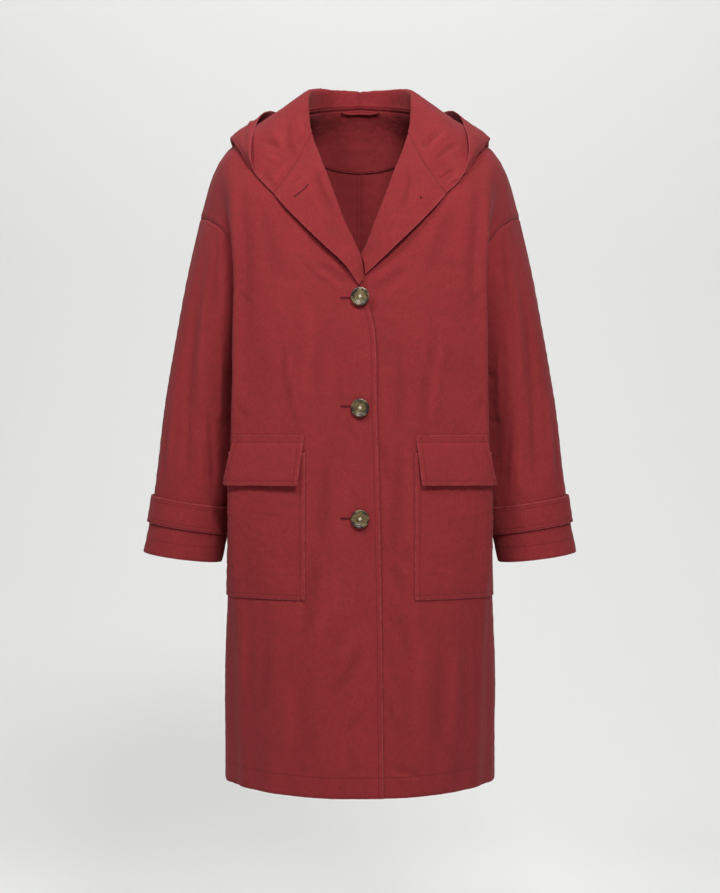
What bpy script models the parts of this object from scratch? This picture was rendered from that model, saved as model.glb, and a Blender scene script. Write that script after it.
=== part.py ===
"""A hooded, single-breasted coat in red cotton, hollow as it is worn, with nobody in it.

Metres, +Z up, +Y towards the coat's back, +X towards the wearer's left. The origin is in the
middle of the neck, level with the side of the neckline, where the wearer's neck and shoulders
hold the coat up.

Every cloth piece is one wall. Its outer face is worked out first, as a net of rows and columns
from the tables of sections below, and the wall is that net moved inwards along its own normals.
Neighbouring pieces share the points of their seam, so they meet in a mitre with a thin gap.
The tables give half a coat. Each point is (out, back, up): out is the distance from the centre
line towards either side, back is towards the coat's back and up is the height.
"""

import math
from collections import namedtuple

import bpy
import numpy as np

# ---------------------------------------------------------------- driving sizes
SHELL = 0.0020  # wall of the coat: cotton with its turnings
HOOD = 0.0014  # wall of the hood, which has to turn more tightly
LAID = 0.0018  # wall of a pocket, flap or strap
FACING = 0.0012  # wall of the back neck facing
SEAM = 0.0003  # gap between two pieces that are sewn together
REST = 0.0010  # gap under a piece that lies on a panel
RIGHT, LEFT = -1, 1  # the wearer's right is at -X

LAP_STOP = 2  # column where the lap of one front over the other ends
LAP_WIDTH = 0.037  # how far from the centre line that is
LAP_CURVE = 0.0012  # how far back it lies from the front edge
UNDER_SHIFT = 0.0042  # how far the under front lies behind the over front
UNDER_FADE = 0.095  # how far from the centre line that shift has died away
YOKE_ROWS = 11  # courses from the shoulder seam to the underarm
SKIRT_ROWS = 12  # courses from the underarm to the hem
SLEEVE_ROWS = 12  # courses from the armhole to the cuff
BREAK_ROW = 9  # course where the over front stops turning back
UNDER_BREAK_ROW = 8  # the same on the under front
GORGE = 11  # station where the hood is sewn to the lapel
BODY_ROWS = YOKE_ROWS + SKIRT_ROWS
LEAST_BEND = 0.0020  # a hood's fold that is tighter than this counts as none
TIE = 1e-5  # diagonals this close count as equal, so that both sides of the coat are split alike

STRAP_FROM, STRAP_TO = 10.05, 10.95  # the cuff strap's rows on the sleeve
STRAP_STAND = 0.0013  # how far the strap stands off the sleeve
FACING_DEPTH = 4.57  # course that the back neck facing reaches at the centre
FACING_RISE = 0.42 / 5.2**2  # how much sooner it ends, by the square of the column
FACING_TOP = 0.30  # course where the facing begins, just under the neck seam
LOOP_RADIUS = 0.0016

BUTTON_LEVELS = (-0.2845, -0.4410, -0.5975)
BUTTON_PROFILE = (  # distance from the middle, height over the cloth side
    (0.0112, 0.0000),
    (0.0130, 0.0012),
    (0.0131, 0.0027),
    (0.0120, 0.0041),
    (0.0104, 0.0042),
    (0.0088, 0.0031),
    (0.0060, 0.0027),
)
BUTTON_SIDES = 28
HOLE_RADIUS = 0.0011
HOLE_SPREAD = 0.0021  # how far each hole lies from the button's middle, along and across
HOLE_SIDES = 8

# ---------------------------------------------------------------- the body
# One line for each section, from the shoulder seam down to the hem. row: its course.
# edge: neckline, roll line, then front edge. turn: where the front begins to turn to the side.
# bulge: the fold that stands in front of the arm. hollow: the valley behind it.
# side: armhole, then side seam.
Front = namedtuple("Front", "name row edge turn bulge hollow side")
FRONT_STOPS = (0, 5, 8, 10, 12)
FRONT = (
    Front("shoulder", 0, (0.0830, 0.0040, -0.0060), (0.1600, 0.0055, -0.0440), (0.1980, 0.0060, -0.0660),
          (0.2190, 0.0060, -0.1030), (0.2365, 0.0060, -0.1640)),
    Front("gorge", 3, (0.0750, -0.0420, -0.0490), (0.1600, -0.0520, -0.0760), (0.1945, -0.0440, -0.0880),
          (0.2085, -0.0380, -0.1180), (0.2190, -0.0360, -0.1710)),
    Front("collarbone", 5, (0.0540, -0.0880, -0.1070), (0.1570, -0.0950, -0.1240), (0.1895, -0.0760, -0.1300),
          (0.1940, -0.0660, -0.1580), (0.1990, -0.0610, -0.1870)),
    Front("chest", 7, (0.0215, -0.1190, -0.1880), (0.1540, -0.1160, -0.1900), (0.1845, -0.0960, -0.1900),
          (0.1790, -0.0770, -0.2060), (0.1740, -0.0680, -0.2260)),
    Front("crossing", 8, (0.0010, -0.1285, -0.2286), (0.1530, -0.1210, -0.2270), (0.1800, -0.1010, -0.2260),
          (0.1720, -0.0760, -0.2400), (0.1650, -0.0620, -0.2550)),
    Front("break", 9, (-0.0025, -0.1345, -0.2620), (0.1525, -0.1235, -0.2630), (0.1780, -0.1030, -0.2630),
          (0.1665, -0.0700, -0.2720), (0.1580, -0.0480, -0.2850)),
    Front("underarm", 11, (-0.0203, -0.1390, -0.3350), (0.1530, -0.1255, -0.3350), (0.1800, -0.1045, -0.3350),
          (0.1600, -0.0470, -0.3350), (0.1500, 0.0020, -0.3350)),
    Front("waist", 13, (-0.0230, -0.1410, -0.4440), (0.1550, -0.1230, -0.4440), (0.1830, -0.1000, -0.4440),
          (0.1620, -0.0450, -0.4440), (0.1535, 0.0040, -0.4440)),
    Front("hip", 15, (-0.0262, -0.1460, -0.5530), (0.1570, -0.1215, -0.5530), (0.1865, -0.0930, -0.5530),
          (0.1745, -0.0420, -0.5530), (0.1690, 0.0050, -0.5530)),
    Front("low hip", 17, (-0.0285, -0.1520, -0.6620), (0.1560, -0.1195, -0.6620), (0.1875, -0.0810, -0.6620),
          (0.1860, -0.0370, -0.6620), (0.1840, 0.0050, -0.6620)),
    Front("thigh", 20, (-0.0310, -0.1630, -0.8255), (0.1500, -0.1190, -0.8255), (0.1850, -0.0690, -0.8255),
          (0.1960, -0.0290, -0.8255), (0.1980, 0.0050, -0.8255)),
    Front("hem", 23, (-0.0325, -0.1715, -0.9890), (0.1440, -0.1200, -0.9890), (0.1820, -0.0610, -0.9890),
          (0.1975, -0.0220, -0.9890), (0.2010, 0.0050, -0.9890)),
)

# The back. Its top runs along the back of the neck as far as the column called neck, and then
# along the shoulder seam. The shoulder and side seams are the front's own points.
Back = namedtuple("Back", "name row centre nape neck turn bulge hollow")
BACK_STOPS = (0, 4, 8, 13, 16, 18, 20)
NECK_STOP = BACK_STOPS[2]
BACK = (
    Back("neckline", 0, (0.0, 0.0790, 0.0110), (0.0480, 0.0640, 0.0060), FRONT[0].edge, FRONT[0].turn,
         FRONT[0].bulge, FRONT[0].hollow),
    Back("gorge", 3, (0.0, 0.1020, -0.0420), (0.0480, 0.0985, -0.0430), (0.0920, 0.0800, -0.0480),
         (0.1600, 0.0600, -0.0730), (0.1940, 0.0520, -0.0890), (0.2090, 0.0460, -0.1200)),
    Back("blade", 5, (0.0, 0.1150, -0.1000), (0.0480, 0.1130, -0.1010), (0.0900, 0.1060, -0.1050),
         (0.1570, 0.0920, -0.1240), (0.1890, 0.0770, -0.1330), (0.1950, 0.0690, -0.1600)),
    Back("chest", 7, (0.0, 0.1220, -0.1750), (0.0480, 0.1205, -0.1755), (0.0900, 0.1160, -0.1780),
         (0.1540, 0.1080, -0.1880), (0.1835, 0.0940, -0.1930), (0.1790, 0.0820, -0.2100)),
    Back("break", 9, (0.0, 0.1250, -0.2550), (0.0480, 0.1235, -0.2560), (0.0900, 0.1200, -0.2580),
         (0.1520, 0.1180, -0.2620), (0.1780, 0.1010, -0.2640), (0.1660, 0.0740, -0.2750)),
    Back("underarm", 11, (0.0, 0.1260, -0.3350), (0.0480, 0.1250, -0.3350), (0.0900, 0.1220, -0.3350),
         (0.1510, 0.1160, -0.3350), (0.1780, 0.0990, -0.3350), (0.1590, 0.0500, -0.3350)),
    Back("waist", 13, (0.0, 0.1270, -0.4440), (0.0480, 0.1260, -0.4440), (0.0900, 0.1225, -0.4440),
         (0.1520, 0.1140, -0.4440), (0.1800, 0.0950, -0.4440), (0.1620, 0.0520, -0.4440)),
    Back("hip", 15, (0.0, 0.1340, -0.5530), (0.0480, 0.1330, -0.5530), (0.0920, 0.1285, -0.5530),
         (0.1530, 0.1160, -0.5530), (0.1825, 0.0920, -0.5530), (0.1750, 0.0520, -0.5530)),
    Back("low hip", 17, (0.0, 0.1430, -0.6620), (0.0490, 0.1415, -0.6620), (0.0940, 0.1360, -0.6620),
         (0.1530, 0.1170, -0.6620), (0.1840, 0.0870, -0.6620), (0.1865, 0.0470, -0.6620)),
    Back("thigh", 20, (0.0, 0.1540, -0.8255), (0.0500, 0.1520, -0.8255), (0.0970, 0.1440, -0.8255),
         (0.1500, 0.1200, -0.8255), (0.1835, 0.0800, -0.8255), (0.1955, 0.0380, -0.8255)),
    Back("hem", 23, (0.0, 0.1630, -0.9890), (0.0510, 0.1605, -0.9890), (0.1000, 0.1510, -0.9890),
         (0.1460, 0.1240, -0.9890), (0.1810, 0.0740, -0.9890), (0.1970, 0.0320, -0.9890)),
)
# The armhole as the back is cut, beside the front's: course by course from the shoulder tip.
Armhole = namedtuple("Armhole", "row side")
BACK_ARMHOLE = (
    Armhole(0, FRONT[0].side),
    Armhole(3, (0.2200, 0.0440, -0.1735)),
    Armhole(5, (0.2000, 0.0690, -0.1930)),
    Armhole(7, (0.1750, 0.0750, -0.2320)),
    Armhole(9, (0.1580, 0.0540, -0.2880)),
    Armhole(11, (0.1500, 0.0020, -0.3350)),
)

# ---------------------------------------------------------------- the sleeve
# One line for each ring, by its share of the way from the armhole to the cuff. outer and inner
# are (out, up). The ring's middle lies at back, and its half depth is deep.
Ring = namedtuple("Ring", "name share outer inner back deep")
SLEEVE = (
    Ring("armhole", 0.00, (0.2365, -0.1640), (0.1500, -0.3350), 0.004, 0.069),
    Ring("bicep", 0.16, (0.2535, -0.2380), (0.1610, -0.3800), 0.003, 0.072),
    Ring("elbow", 0.38, (0.2735, -0.3500), (0.1675, -0.4460), 0.000, 0.069),
    Ring("forearm", 0.60, (0.2900, -0.4550), (0.1755, -0.5150), -0.006, 0.064),
    Ring("above strap", 0.80, (0.3010, -0.5520), (0.1860, -0.5710), -0.012, 0.060),
    Ring("strap", 0.90, (0.3085, -0.6030), (0.1940, -0.6210), -0.015, 0.058),
    Ring("cuff", 1.00, (0.3185, -0.6530), (0.2035, -0.6680), -0.018, 0.057),
)

# ---------------------------------------------------------------- the hood and the lapels
# One line for each station round the neck, from the centre back to where the lapel ends. The
# points are on the cloth's right side, which the hood and the lapel turn under.
# ridge: where the hood rolls over. under: the layer that lies on the coat. fold: the bottom of
# the hood's bag, and bend: the radius that it turns in. swell: the outer layer. rim: the free
# edge. A lapel has no bag, so its bend is nought and its under, fold and swell only lie on the
# way to its rim.
Station = namedtuple("Station", "name number bend ridge under fold swell rim")
COLLAR_STOPS = (0, 2, 4, 6, 7, 8, 9, 10, 12, 14)
COLLAR = (
    Station("centre back", 0, 0.0100, (0.0, 0.0860, 0.0262), (0.0, 0.1340, -0.1000), (0.0, 0.1680, -0.2150),
            (0.0, 0.1960, -0.1400), (0.0, 0.1900, -0.0500)),
    Station("nape", 3, 0.0100, (0.0370, 0.0760, 0.0285), (0.0620, 0.1270, -0.0900), (0.0780, 0.1610, -0.2050),
            (0.0800, 0.1860, -0.1300), (0.0700, 0.1780, -0.0350)),
    Station("neck side", 6, 0.0090, (0.0720, 0.0420, 0.0285), (0.1240, 0.0960, -0.0560), (0.1560, 0.1180, -0.1420),
            (0.1650, 0.1300, -0.0850), (0.1260, 0.0980, 0.0040)),
    Station("neck point", 8, 0.0030, (0.0800, 0.0060, 0.0190), (0.1500, 0.0160, -0.0250), (0.1915, 0.0140, -0.0470),
            (0.1760, 0.0070, -0.0310), (0.1510, 0.0060, -0.0175)),
    Station("shoulder", 9, 0.0026, (0.0790, -0.0150, 0.0015), (0.1370, -0.0310, -0.0330), (0.1750, -0.0475, -0.0695),
            (0.1675, -0.0615, -0.0665), (0.1575, -0.0660, -0.0635)),
    Station("front of hood", 10, 0.0, (0.0765, -0.0320, -0.0220), (0.1140, -0.0620, -0.0600),
            (0.1474, -0.0884, -0.1088), (0.1487, -0.0905, -0.1070), (0.1499, -0.0925, -0.1053)),
    Station("gorge", 11, 0.0, (0.0715, -0.0490, -0.0470), (0.0905, -0.0800, -0.0900), (0.1080, -0.0970, -0.1180),
            (0.1165, -0.1040, -0.1300), (0.1225, -0.1085, -0.1370)),
    Station("upper lapel", 13, 0.0, (0.0500, -0.0950, -0.1065), (0.0690, -0.1045, -0.1260), (0.0850, -0.1130, -0.1440),
            (0.0940, -0.1175, -0.1545), (0.1005, -0.1200, -0.1620)),
    Station("lapel", 15, 0.0, (0.0180, -0.1260, -0.1885), (0.0290, -0.1290, -0.1970), (0.0410, -0.1310, -0.2025),
            (0.0475, -0.1325, -0.2060), (0.0530, -0.1335, -0.2090)),
    Station("crossing", 16, 0.0, (-0.0010, -0.1340, -0.2290), (0.0050, -0.1365, -0.2310), (0.0130, -0.1380, -0.2340),
            (0.0175, -0.1385, -0.2360), (0.0220, -0.1390, -0.2380)),
    Station("break", 17, 0.0, (-0.0028, -0.1375, -0.2624), (-0.0020, -0.1385, -0.2634), (-0.0008, -0.1392, -0.2650),
            (0.0002, -0.1395, -0.2660), (0.0012, -0.1395, -0.2670)),
)
# The under lapel ends a course sooner, in a point that is tucked behind the over front.
UNDER_TIP = Station("tip", 16, 0.0, (0.0040, -0.1325, -0.2310), (0.0054, -0.1340, -0.2360),
                    (0.0066, -0.1350, -0.2430), (0.0072, -0.1355, -0.2475), (0.0078, -0.1355, -0.2520))


# ---------------------------------------------------------------- pockets
# A patch pocket lies on the front from one column to the other, wrapped round the bulge.
POCKET_COURSES = (14.12, 15.0, 16.0, 17.0, 17.92)
POCKET_COLUMNS = (3.0, 4.0, 5.0, 6.0, 7.0, 8.0, 8.6)
# The flap over it, from the stitched band at its top to its free lower edge. course: its place
# down the front. near and far: the columns of its two ends. stand: the gap under it.
Flap = namedtuple("Flap", "name course near far stand")
FLAP = (
    Flap("band top", 13.67, 3.03, 6.45, 0.0008),
    Flap("band foot", 13.83, 3.05, 6.45, 0.0008),
    Flap("crown", 13.94, 3.07, 6.52, 0.0030),
    Flap("middle", 14.40, 3.12, 6.80, 0.0066),
    Flap("lower", 14.72, 3.16, 7.00, 0.0088),
    Flap("edge", 14.95, 3.20, 7.15, 0.0102),
)
FLAP_COLUMNS = 6
# The hanger loop inside the back of the neck: column and course on the back.
LOOP_ROUTE = ((2.35, 0.20), (2.20, 0.32), (1.55, 0.50), (1.30, 0.53), (0.0, 0.55))


def spline(knots, values, at):
    """Values at the places given, on a smooth curve through values at the knots."""
    knots = np.asarray(knots, float)
    values = np.asarray(values, float)
    at = np.asarray(at, float)
    steps = np.diff(knots)
    secants = np.diff(values, axis=0) / steps.reshape(-1, *[1] * (values.ndim - 1))
    slopes = np.empty_like(values)
    slopes[0], slopes[-1] = secants[0], secants[-1]
    for i in range(1, len(knots) - 1):
        before, after = steps[i - 1], steps[i]
        slopes[i] = (after * secants[i - 1] + before * secants[i]) / (before + after)
    i = np.clip(np.searchsorted(knots, at, side="right") - 1, 0, len(knots) - 2)
    h = steps[i]
    t = (at - knots[i]) / h
    shape = (-1, *[1] * (values.ndim - 1))
    t, h = t.reshape(shape), h.reshape(shape)
    return (
        (2 * t**3 - 3 * t**2 + 1) * values[i]
        + (t**3 - 2 * t**2 + t) * h * slopes[i]
        + (3 * t**2 - 2 * t**3) * values[i + 1]
        + (t**3 - t**2) * h * slopes[i + 1]
    )


def courses_of(table, names, key="row"):
    """The named columns of a table at every course from its first to its last."""
    rows = [getattr(section, key) for section in table]
    named = [[getattr(section, name) for name in names] for section in table]
    return spline(rows, named, np.arange(rows[0], rows[-1] + 1))


def across(courses, stops):
    """A net, rows by columns by 3, from the named columns and the column number of each."""
    return spline(stops, courses.transpose(1, 0, 2), np.arange(stops[-1] + 1)).transpose(1, 0, 2)


def unit(vector):
    return vector / max(np.linalg.norm(vector), 1e-12)


def smooth_step(x):
    x = np.clip(x, 0.0, 1.0)
    return x * x * (3 - 2 * x)


# ---------------------------------------------------------------- the folds
# Soft drape folds: ridges where height is over nought and troughs where it is under. The place is
# a column at the top and another at the bottom, so that a fold may lean. half is its half width
# in columns, first and last are the courses between which it swells and dies away.
Fold = namedtuple("Fold", "top bottom half first last height")
FRONT_FOLDS = (
    Fold(6.2, 5.4, 0.75, 3, 13, -0.0045),
    Fold(4.0, 3.6, 0.90, 6, 15, 0.0035),
    Fold(7.2, 7.6, 0.70, 5, 12, 0.0030),
    Fold(5.2, 5.6, 0.80, 15, 26, -0.0060),
    Fold(2.6, 2.8, 0.90, 17, 26, 0.0040),
    Fold(8.6, 9.2, 0.80, 16, 26, 0.0045),
)
BACK_FOLDS = (
    Fold(12.6, 12.0, 0.90, 4, 14, -0.0045),
    Fold(9.6, 9.0, 1.00, 6, 16, 0.0035),
    Fold(3.6, 3.9, 1.20, 12, 27, -0.0055),
    Fold(7.4, 7.9, 1.20, 13, 27, 0.0060),
    Fold(11.6, 11.9, 1.20, 15, 27, -0.0060),
    Fold(15.2, 15.0, 1.00, 14, 27, 0.0045),
)
SLEEVE_FOLDS = (
    Fold(3.0, 4.2, 0.90, 0, 9, -0.0045),
    Fold(5.4, 6.4, 0.90, 1, 10, 0.0040),
    Fold(7.6, 8.2, 0.90, 2, 11, -0.0045),
)


def normals_of(net, sign):
    """Unit normals of a net, sign being the way round that its rows and columns run."""
    down = np.gradient(net, axis=0)
    along = np.gradient(net, axis=1)
    normal = sign * np.cross(down, along)
    return normal / np.linalg.norm(normal, axis=2, keepdims=True)


def with_folds(net, sign, folds, still_columns):
    """The net with its folds pressed in. The columns named as still are seams, which stay put."""
    rows, columns = np.indices(net.shape[:2])
    height = np.zeros(net.shape[:2])
    for fold in folds:
        share = np.clip((rows - fold.first) / (fold.last - fold.first), 0.0, 1.0)
        place = fold.top + (fold.bottom - fold.top) * share
        swell = np.sin(math.pi * share)
        height += fold.height * swell * np.exp(-(((columns - place) / fold.half) ** 2))
    for still in still_columns:
        height *= smooth_step(np.abs(columns - still) / 2.0)
    height *= smooth_step(rows / 2.0)
    return net + normals_of(net, sign) * height[..., None]


# ---------------------------------------------------------------- nets of the pieces
def moved_under(net, rows):
    """The under front and its lapel lie behind the over front where the two cross."""
    low = smooth_step((np.asarray(rows, float) - (UNDER_BREAK_ROW - 4)) / 4.0)
    near = 1 - smooth_step(net[..., 0] / UNDER_FADE)
    net[..., 1] += UNDER_SHIFT * near * low[:, None]
    return net


def front_net(side):
    named = courses_of(FRONT, ("edge", "turn", "bulge", "hollow", "side"))
    net = across(named, FRONT_STOPS)
    # Below the break the fronts lie flat on each other, as far to either side of the middle.
    lap = net[:, LAP_STOP].copy()
    flat = smooth_step((np.arange(BODY_ROWS + 1) - UNDER_BREAK_ROW) / 3.0)
    lap[:, 0] += (LAP_WIDTH - lap[:, 0]) * flat
    lap[:, 1] += (named[:, 0, 1] + LAP_CURVE - lap[:, 1]) * flat
    lapped = across(np.insert(named, 1, lap, axis=1), (FRONT_STOPS[0], LAP_STOP, *FRONT_STOPS[1:]))
    net += (lapped - net) * flat[:, None, None]
    net = with_folds(net, 1, FRONT_FOLDS, (0, FRONT_STOPS[-1]))
    if side == LEFT:
        net = moved_under(net, range(BODY_ROWS + 1))
    return net


def back_net():
    named = courses_of(BACK, ("centre", "nape", "neck", "turn", "bulge", "hollow"))
    armhole = courses_of(BACK_ARMHOLE, ("side",))[:, 0]
    seam = courses_of(FRONT, ("side",))[YOKE_ROWS:, 0]
    sides = np.concatenate([armhole[:YOKE_ROWS], seam])
    named = np.concatenate([named, sides[:, None]], axis=1)
    smooth = across(named, BACK_STOPS)
    inner = across(named[:, :3], BACK_STOPS[:3])
    outer = across(named[:, 2:], tuple(stop - NECK_STOP for stop in BACK_STOPS[2:]))
    cornered = np.concatenate([inner, outer[:, 1:]], axis=1)
    # the neck point is a corner, which has gone by the third course
    soft = smooth_step(np.arange(BODY_ROWS + 1) / 3.0)[:, None, None]
    net = cornered + (smooth - cornered) * soft
    return with_folds(net, -1, BACK_FOLDS, (0, BACK_STOPS[-1]))


def rounded_fold(under, fold, swell, bend, along):
    """Five points round the bottom of the bag, or five on the way across where nothing folds."""
    if bend < LEAST_BEND:
        near = [under + (fold - under) * share for share in (0.60, 0.80, 1.0)]
        return near + [fold + (swell - fold) * share for share in (0.34, 0.67)]
    upward = (under + swell) / 2 - fold
    upward = unit(upward - along * (upward @ along))
    inward = np.cross(along, upward)
    inward *= math.copysign(1.0, inward @ (under - swell))
    turns = [math.pi / 2 * step for step in (1.0, 0.5, 0.0, -0.5, -1.0)]
    return [
        fold + bend * ((1 - math.cos(turn)) * upward + math.sin(turn) * inward) for turn in turns
    ]


def collar_net(front, back, side):
    """Hood and lapel as one net, a row for each station. Its first column is the neck seam."""
    seam = np.concatenate([back[0, : NECK_STOP + 1], front[1 : BREAK_ROW + 1, 0]])
    columns = ("ridge", "under", "fold", "swell", "rim")
    named = courses_of(COLLAR, columns, "number")
    bends = courses_of(COLLAR, ("bend",), "number")[:, 0]
    bends[GORGE - 1 :] = 0.0
    if side == LEFT:
        named[UNDER_TIP.number] = [getattr(UNDER_TIP, column) for column in columns]
        named = moved_under(named, np.arange(len(seam)) - NECK_STOP)
    stations = []
    runs = np.gradient(named[:, columns.index("fold")], axis=0)
    runs[0] = (1.0, 0.0, 0.0)  # the seam at the centre back stays in the middle
    for start, (ridge, under, fold, swell, rim), bend, run in zip(seam, named, bends, runs):
        bottom = rounded_fold(under, fold, swell, bend, unit(run))
        stations.append([start, ridge, under, *bottom, swell, rim])
    return across(np.array(stations), COLLAR_STOPS)


def sleeve_net(armhole, way):
    """Half a sleeve, a row for each ring. way is -1 for the front half and 1 for the back half."""
    shares = np.arange(SLEEVE_ROWS + 1) / SLEEVE_ROWS
    keys = [ring.share for ring in SLEEVE]
    outer = spline(keys, [ring.outer for ring in SLEEVE], shares)
    inner = spline(keys, [ring.inner for ring in SLEEVE], shares)
    back = spline(keys, [ring.back for ring in SLEEVE], shares)
    deep = spline(keys, [ring.deep for ring in SLEEVE], shares)
    angle = math.pi * np.arange(len(armhole)) / (len(armhole) - 1)
    to_inner = (1 - np.cos(angle)) / 2
    level = outer[:, None] + (inner - outer)[:, None] * to_inner[None, :, None]
    y = back[:, None] + way * deep[:, None] * np.sin(angle)[None]
    rings = np.stack([level[..., 0], y, level[..., 1]], axis=2)
    still_shaped = (1 - smooth_step(shares / 0.45))[:, None, None]
    net = rings + (armhole - rings[0]) * still_shaped
    return with_folds(net, way, SLEEVE_FOLDS, (0, len(armhole) - 1))


# ---------------------------------------------------------------- sewing and walls
class Piece:
    """A net with the way round that its right side faces, and the solid that it becomes."""

    def __init__(self, name, net, sign, side=1, thickness=SHELL):
        self.name = name
        self.net = net * np.array([side, 1.0, 1.0])
        self.sign = sign * side
        self.thickness = thickness
        self.rows, self.columns = net.shape[:2]
        self.triangles = self.faces()
        self.normals = own_normals(self.net.reshape(-1, 3), self.triangles)

    def corner(self, row, column):
        return row * self.columns + column

    def faces(self):
        """Two triangles for each cell of the net, split along its shorter diagonal."""
        found = []
        points = self.net.reshape(-1, 3)
        for row in range(self.rows - 1):
            for column in range(self.columns - 1):
                a, b = self.corner(row, column), self.corner(row + 1, column)
                c, d = self.corner(row + 1, column + 1), self.corner(row, column + 1)
                falling = np.linalg.norm(points[c] - points[a])
                rising = np.linalg.norm(points[d] - points[b])
                halves = ((a, b, c), (a, c, d)) if falling < rising + TIE else ((a, b, d), (b, c, d))
                found += [half if self.sign > 0 else half[::-1] for half in halves]
        return found

    def border(self):
        """The corners round the edge, in order, with the piece on the left hand."""
        last_row, last_column = self.rows - 1, self.columns - 1
        ring = [self.corner(row, 0) for row in range(last_row)]
        ring += [self.corner(last_row, column) for column in range(last_column)]
        ring += [self.corner(row, last_column) for row in range(last_row, 0, -1)]
        ring += [self.corner(0, column) for column in range(last_column, 0, -1)]
        return ring if self.sign > 0 else ring[::-1]


def key_of(point):
    return tuple(np.round(point / 2e-6).astype(int))


def own_normals(points, faces):
    """A normal for each point, from the faces round it, each by its angle there."""
    normals = np.zeros_like(points)
    for face in faces:
        for i, corner in enumerate(face):
            to_next = unit(points[face[(i + 1) % 3]] - points[corner])
            to_last = unit(points[face[(i + 2) % 3]] - points[corner])
            angle = math.acos(min(1.0, max(-1.0, float(to_next @ to_last))))
            normals[corner] += angle * unit(np.cross(to_next, to_last))
    return normals / np.maximum(np.linalg.norm(normals, axis=1, keepdims=True), 1e-12)


def sewn_walls(pieces):
    """Outer and inner points of each piece, mitred along the seams that the pieces share."""
    meeting, seams = {}, {}
    for piece in pieces:
        points = piece.net.reshape(-1, 3)
        ring = piece.border()
        for here, after in zip(ring, ring[1:] + ring[:1]):
            edge = frozenset((key_of(points[here]), key_of(points[after])))
            seams.setdefault(edge, set()).add(piece.name)
            meeting.setdefault(key_of(points[here]), []).append(piece.normals[here])
    walls = {}
    for piece in pieces:
        points = piece.net.reshape(-1, 3)
        own = piece.normals
        used, reach = own.copy(), np.ones(len(points))
        shift = np.zeros_like(points)
        ring = piece.border()
        for place, corner in enumerate(ring):
            facing = meeting[key_of(points[corner])]
            if len(facing) > 1:
                # pieces that turn right back on each other aren't mitred, as under the arm
                kin = unit(sum(other for other in facing if own[corner] @ other > 0.5))
                shared = [float(smooth_step((kin @ other + 0.6) / 0.5)) for other in facing]
                used[corner] = unit(sum(share * other for share, other in zip(shared, facing)))
                reach[corner] = 1 / max(float(used[corner] @ own[corner]), 0.6)
            ways = []
            for other in (ring[place - 1], ring[(place + 1) % len(ring)]):
                edge = frozenset((key_of(points[corner]), key_of(points[other])))
                if len(seams[edge]) > 1:
                    onward = points[other] - points[corner]
                    ways.append(unit(-onward if other == ring[place - 1] else onward))
            if len(ways) == 2 and ways[0] @ ways[1] > 0.7:
                ways = [unit(ways[0] + ways[1])]
            for way in ways:
                inward = unit(np.cross(own[corner], way))
                square = unit(np.cross(used[corner], way))
                shift[corner] += inward * (SEAM / 2) / max(float(inward @ square), 0.5)
        outer = points + shift
        walls[piece.name] = (outer, outer - used * (piece.thickness * reach)[:, None])
    return walls


def colour(red, green, blue):
    def linear(value):
        value /= 255
        return value / 12.92 if value <= 0.04045 else ((value + 0.055) / 1.055) ** 2.4

    return (linear(red), linear(green), linear(blue), 1.0)


def material(name, shade, roughness):
    made = bpy.data.materials.new(name)
    made.use_nodes = True
    shader = made.node_tree.nodes["Principled BSDF"]
    shader.inputs["Base Color"].default_value = shade
    shader.inputs["Roughness"].default_value = roughness
    made.diffuse_color = shade
    return made


def add_object(name, points, faces, finish):
    mesh = bpy.data.meshes.new(name)
    mesh.from_pydata([tuple(point) for point in points], [], [tuple(face) for face in faces])
    mesh.materials.append(finish)
    mesh.shade_smooth()
    mesh.set_sharp_from_angle(angle=math.radians(50))
    made = bpy.data.objects.new(name, mesh)
    bpy.context.scene.collection.objects.link(made)
    return made


def add_wall(piece, outer, inner, finish):
    """The closed solid between a piece's outer and inner points."""
    count = len(outer)
    faces = list(piece.triangles)
    faces += [tuple(corner + count for corner in face[::-1]) for face in piece.triangles]
    ring = piece.border()
    points = np.abs(piece.net.reshape(-1, 3))
    for here, after in zip(ring, ring[1:] + ring[:1]):
        # both pieces of a seam split its edge the same way, and so do both sides of the coat
        if key_of(points[here]) < key_of(points[after]):
            faces += [(after, here, after + count), (here, here + count, after + count)]
        else:
            faces += [(after, here, here + count), (after, here + count, after + count)]
    return add_object(piece.name, np.concatenate([outer, inner]), faces, finish)


def remove_all():
    for old in list(bpy.data.objects):
        bpy.data.objects.remove(old, do_unlink=True)


def on_net(piece, course, column):
    """The point and the normal of a piece's right side at a course and column between its own."""
    grid, normals = piece.net, piece.normals.reshape(piece.net.shape)
    row, col = min(int(course), piece.rows - 2), min(int(column), piece.columns - 2)
    down, along = course - row, column - col
    weights = ((1 - down) * (1 - along), (1 - down) * along, down * (1 - along), down * along)
    corners = ((row, col), (row, col + 1), (row + 1, col), (row + 1, col + 1))
    point = sum(weight * grid[corner] for weight, corner in zip(weights, corners))
    normal = sum(weight * normals[corner] for weight, corner in zip(weights, corners))
    return point, unit(normal)


def add_laid(name, piece, places, stands, thickness, finish):
    """A wall laid on a piece. places is a net of (course, column), stands the gap for each row."""
    found = [[on_net(piece, *place) for place in row] for row in places]
    points = np.array([[point for point, _ in row] for row in found])
    normals = np.array([[normal for _, normal in row] for row in found])
    gaps = np.asarray(stands, float)[:, None, None]
    inner = points + normals * gaps
    outer = points + normals * (gaps + thickness)
    laid = Piece(name, points, piece.sign)
    return add_wall(laid, outer.reshape(-1, 3), inner.reshape(-1, 3), finish)


def build_pockets(pieces, word, cloth):
    front = pieces["front_" + word]
    places = [[(course, column) for column in POCKET_COLUMNS] for course in POCKET_COURSES]
    add_laid("pocket_" + word, front, places, [REST] * len(places), LAID, cloth)
    places = [
        [(row.course, column) for column in np.linspace(row.near, row.far, FLAP_COLUMNS + 1)]
        for row in FLAP
    ]
    add_laid("pocket_flap_" + word, front, places, [row.stand for row in FLAP], LAID, cloth)


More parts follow.
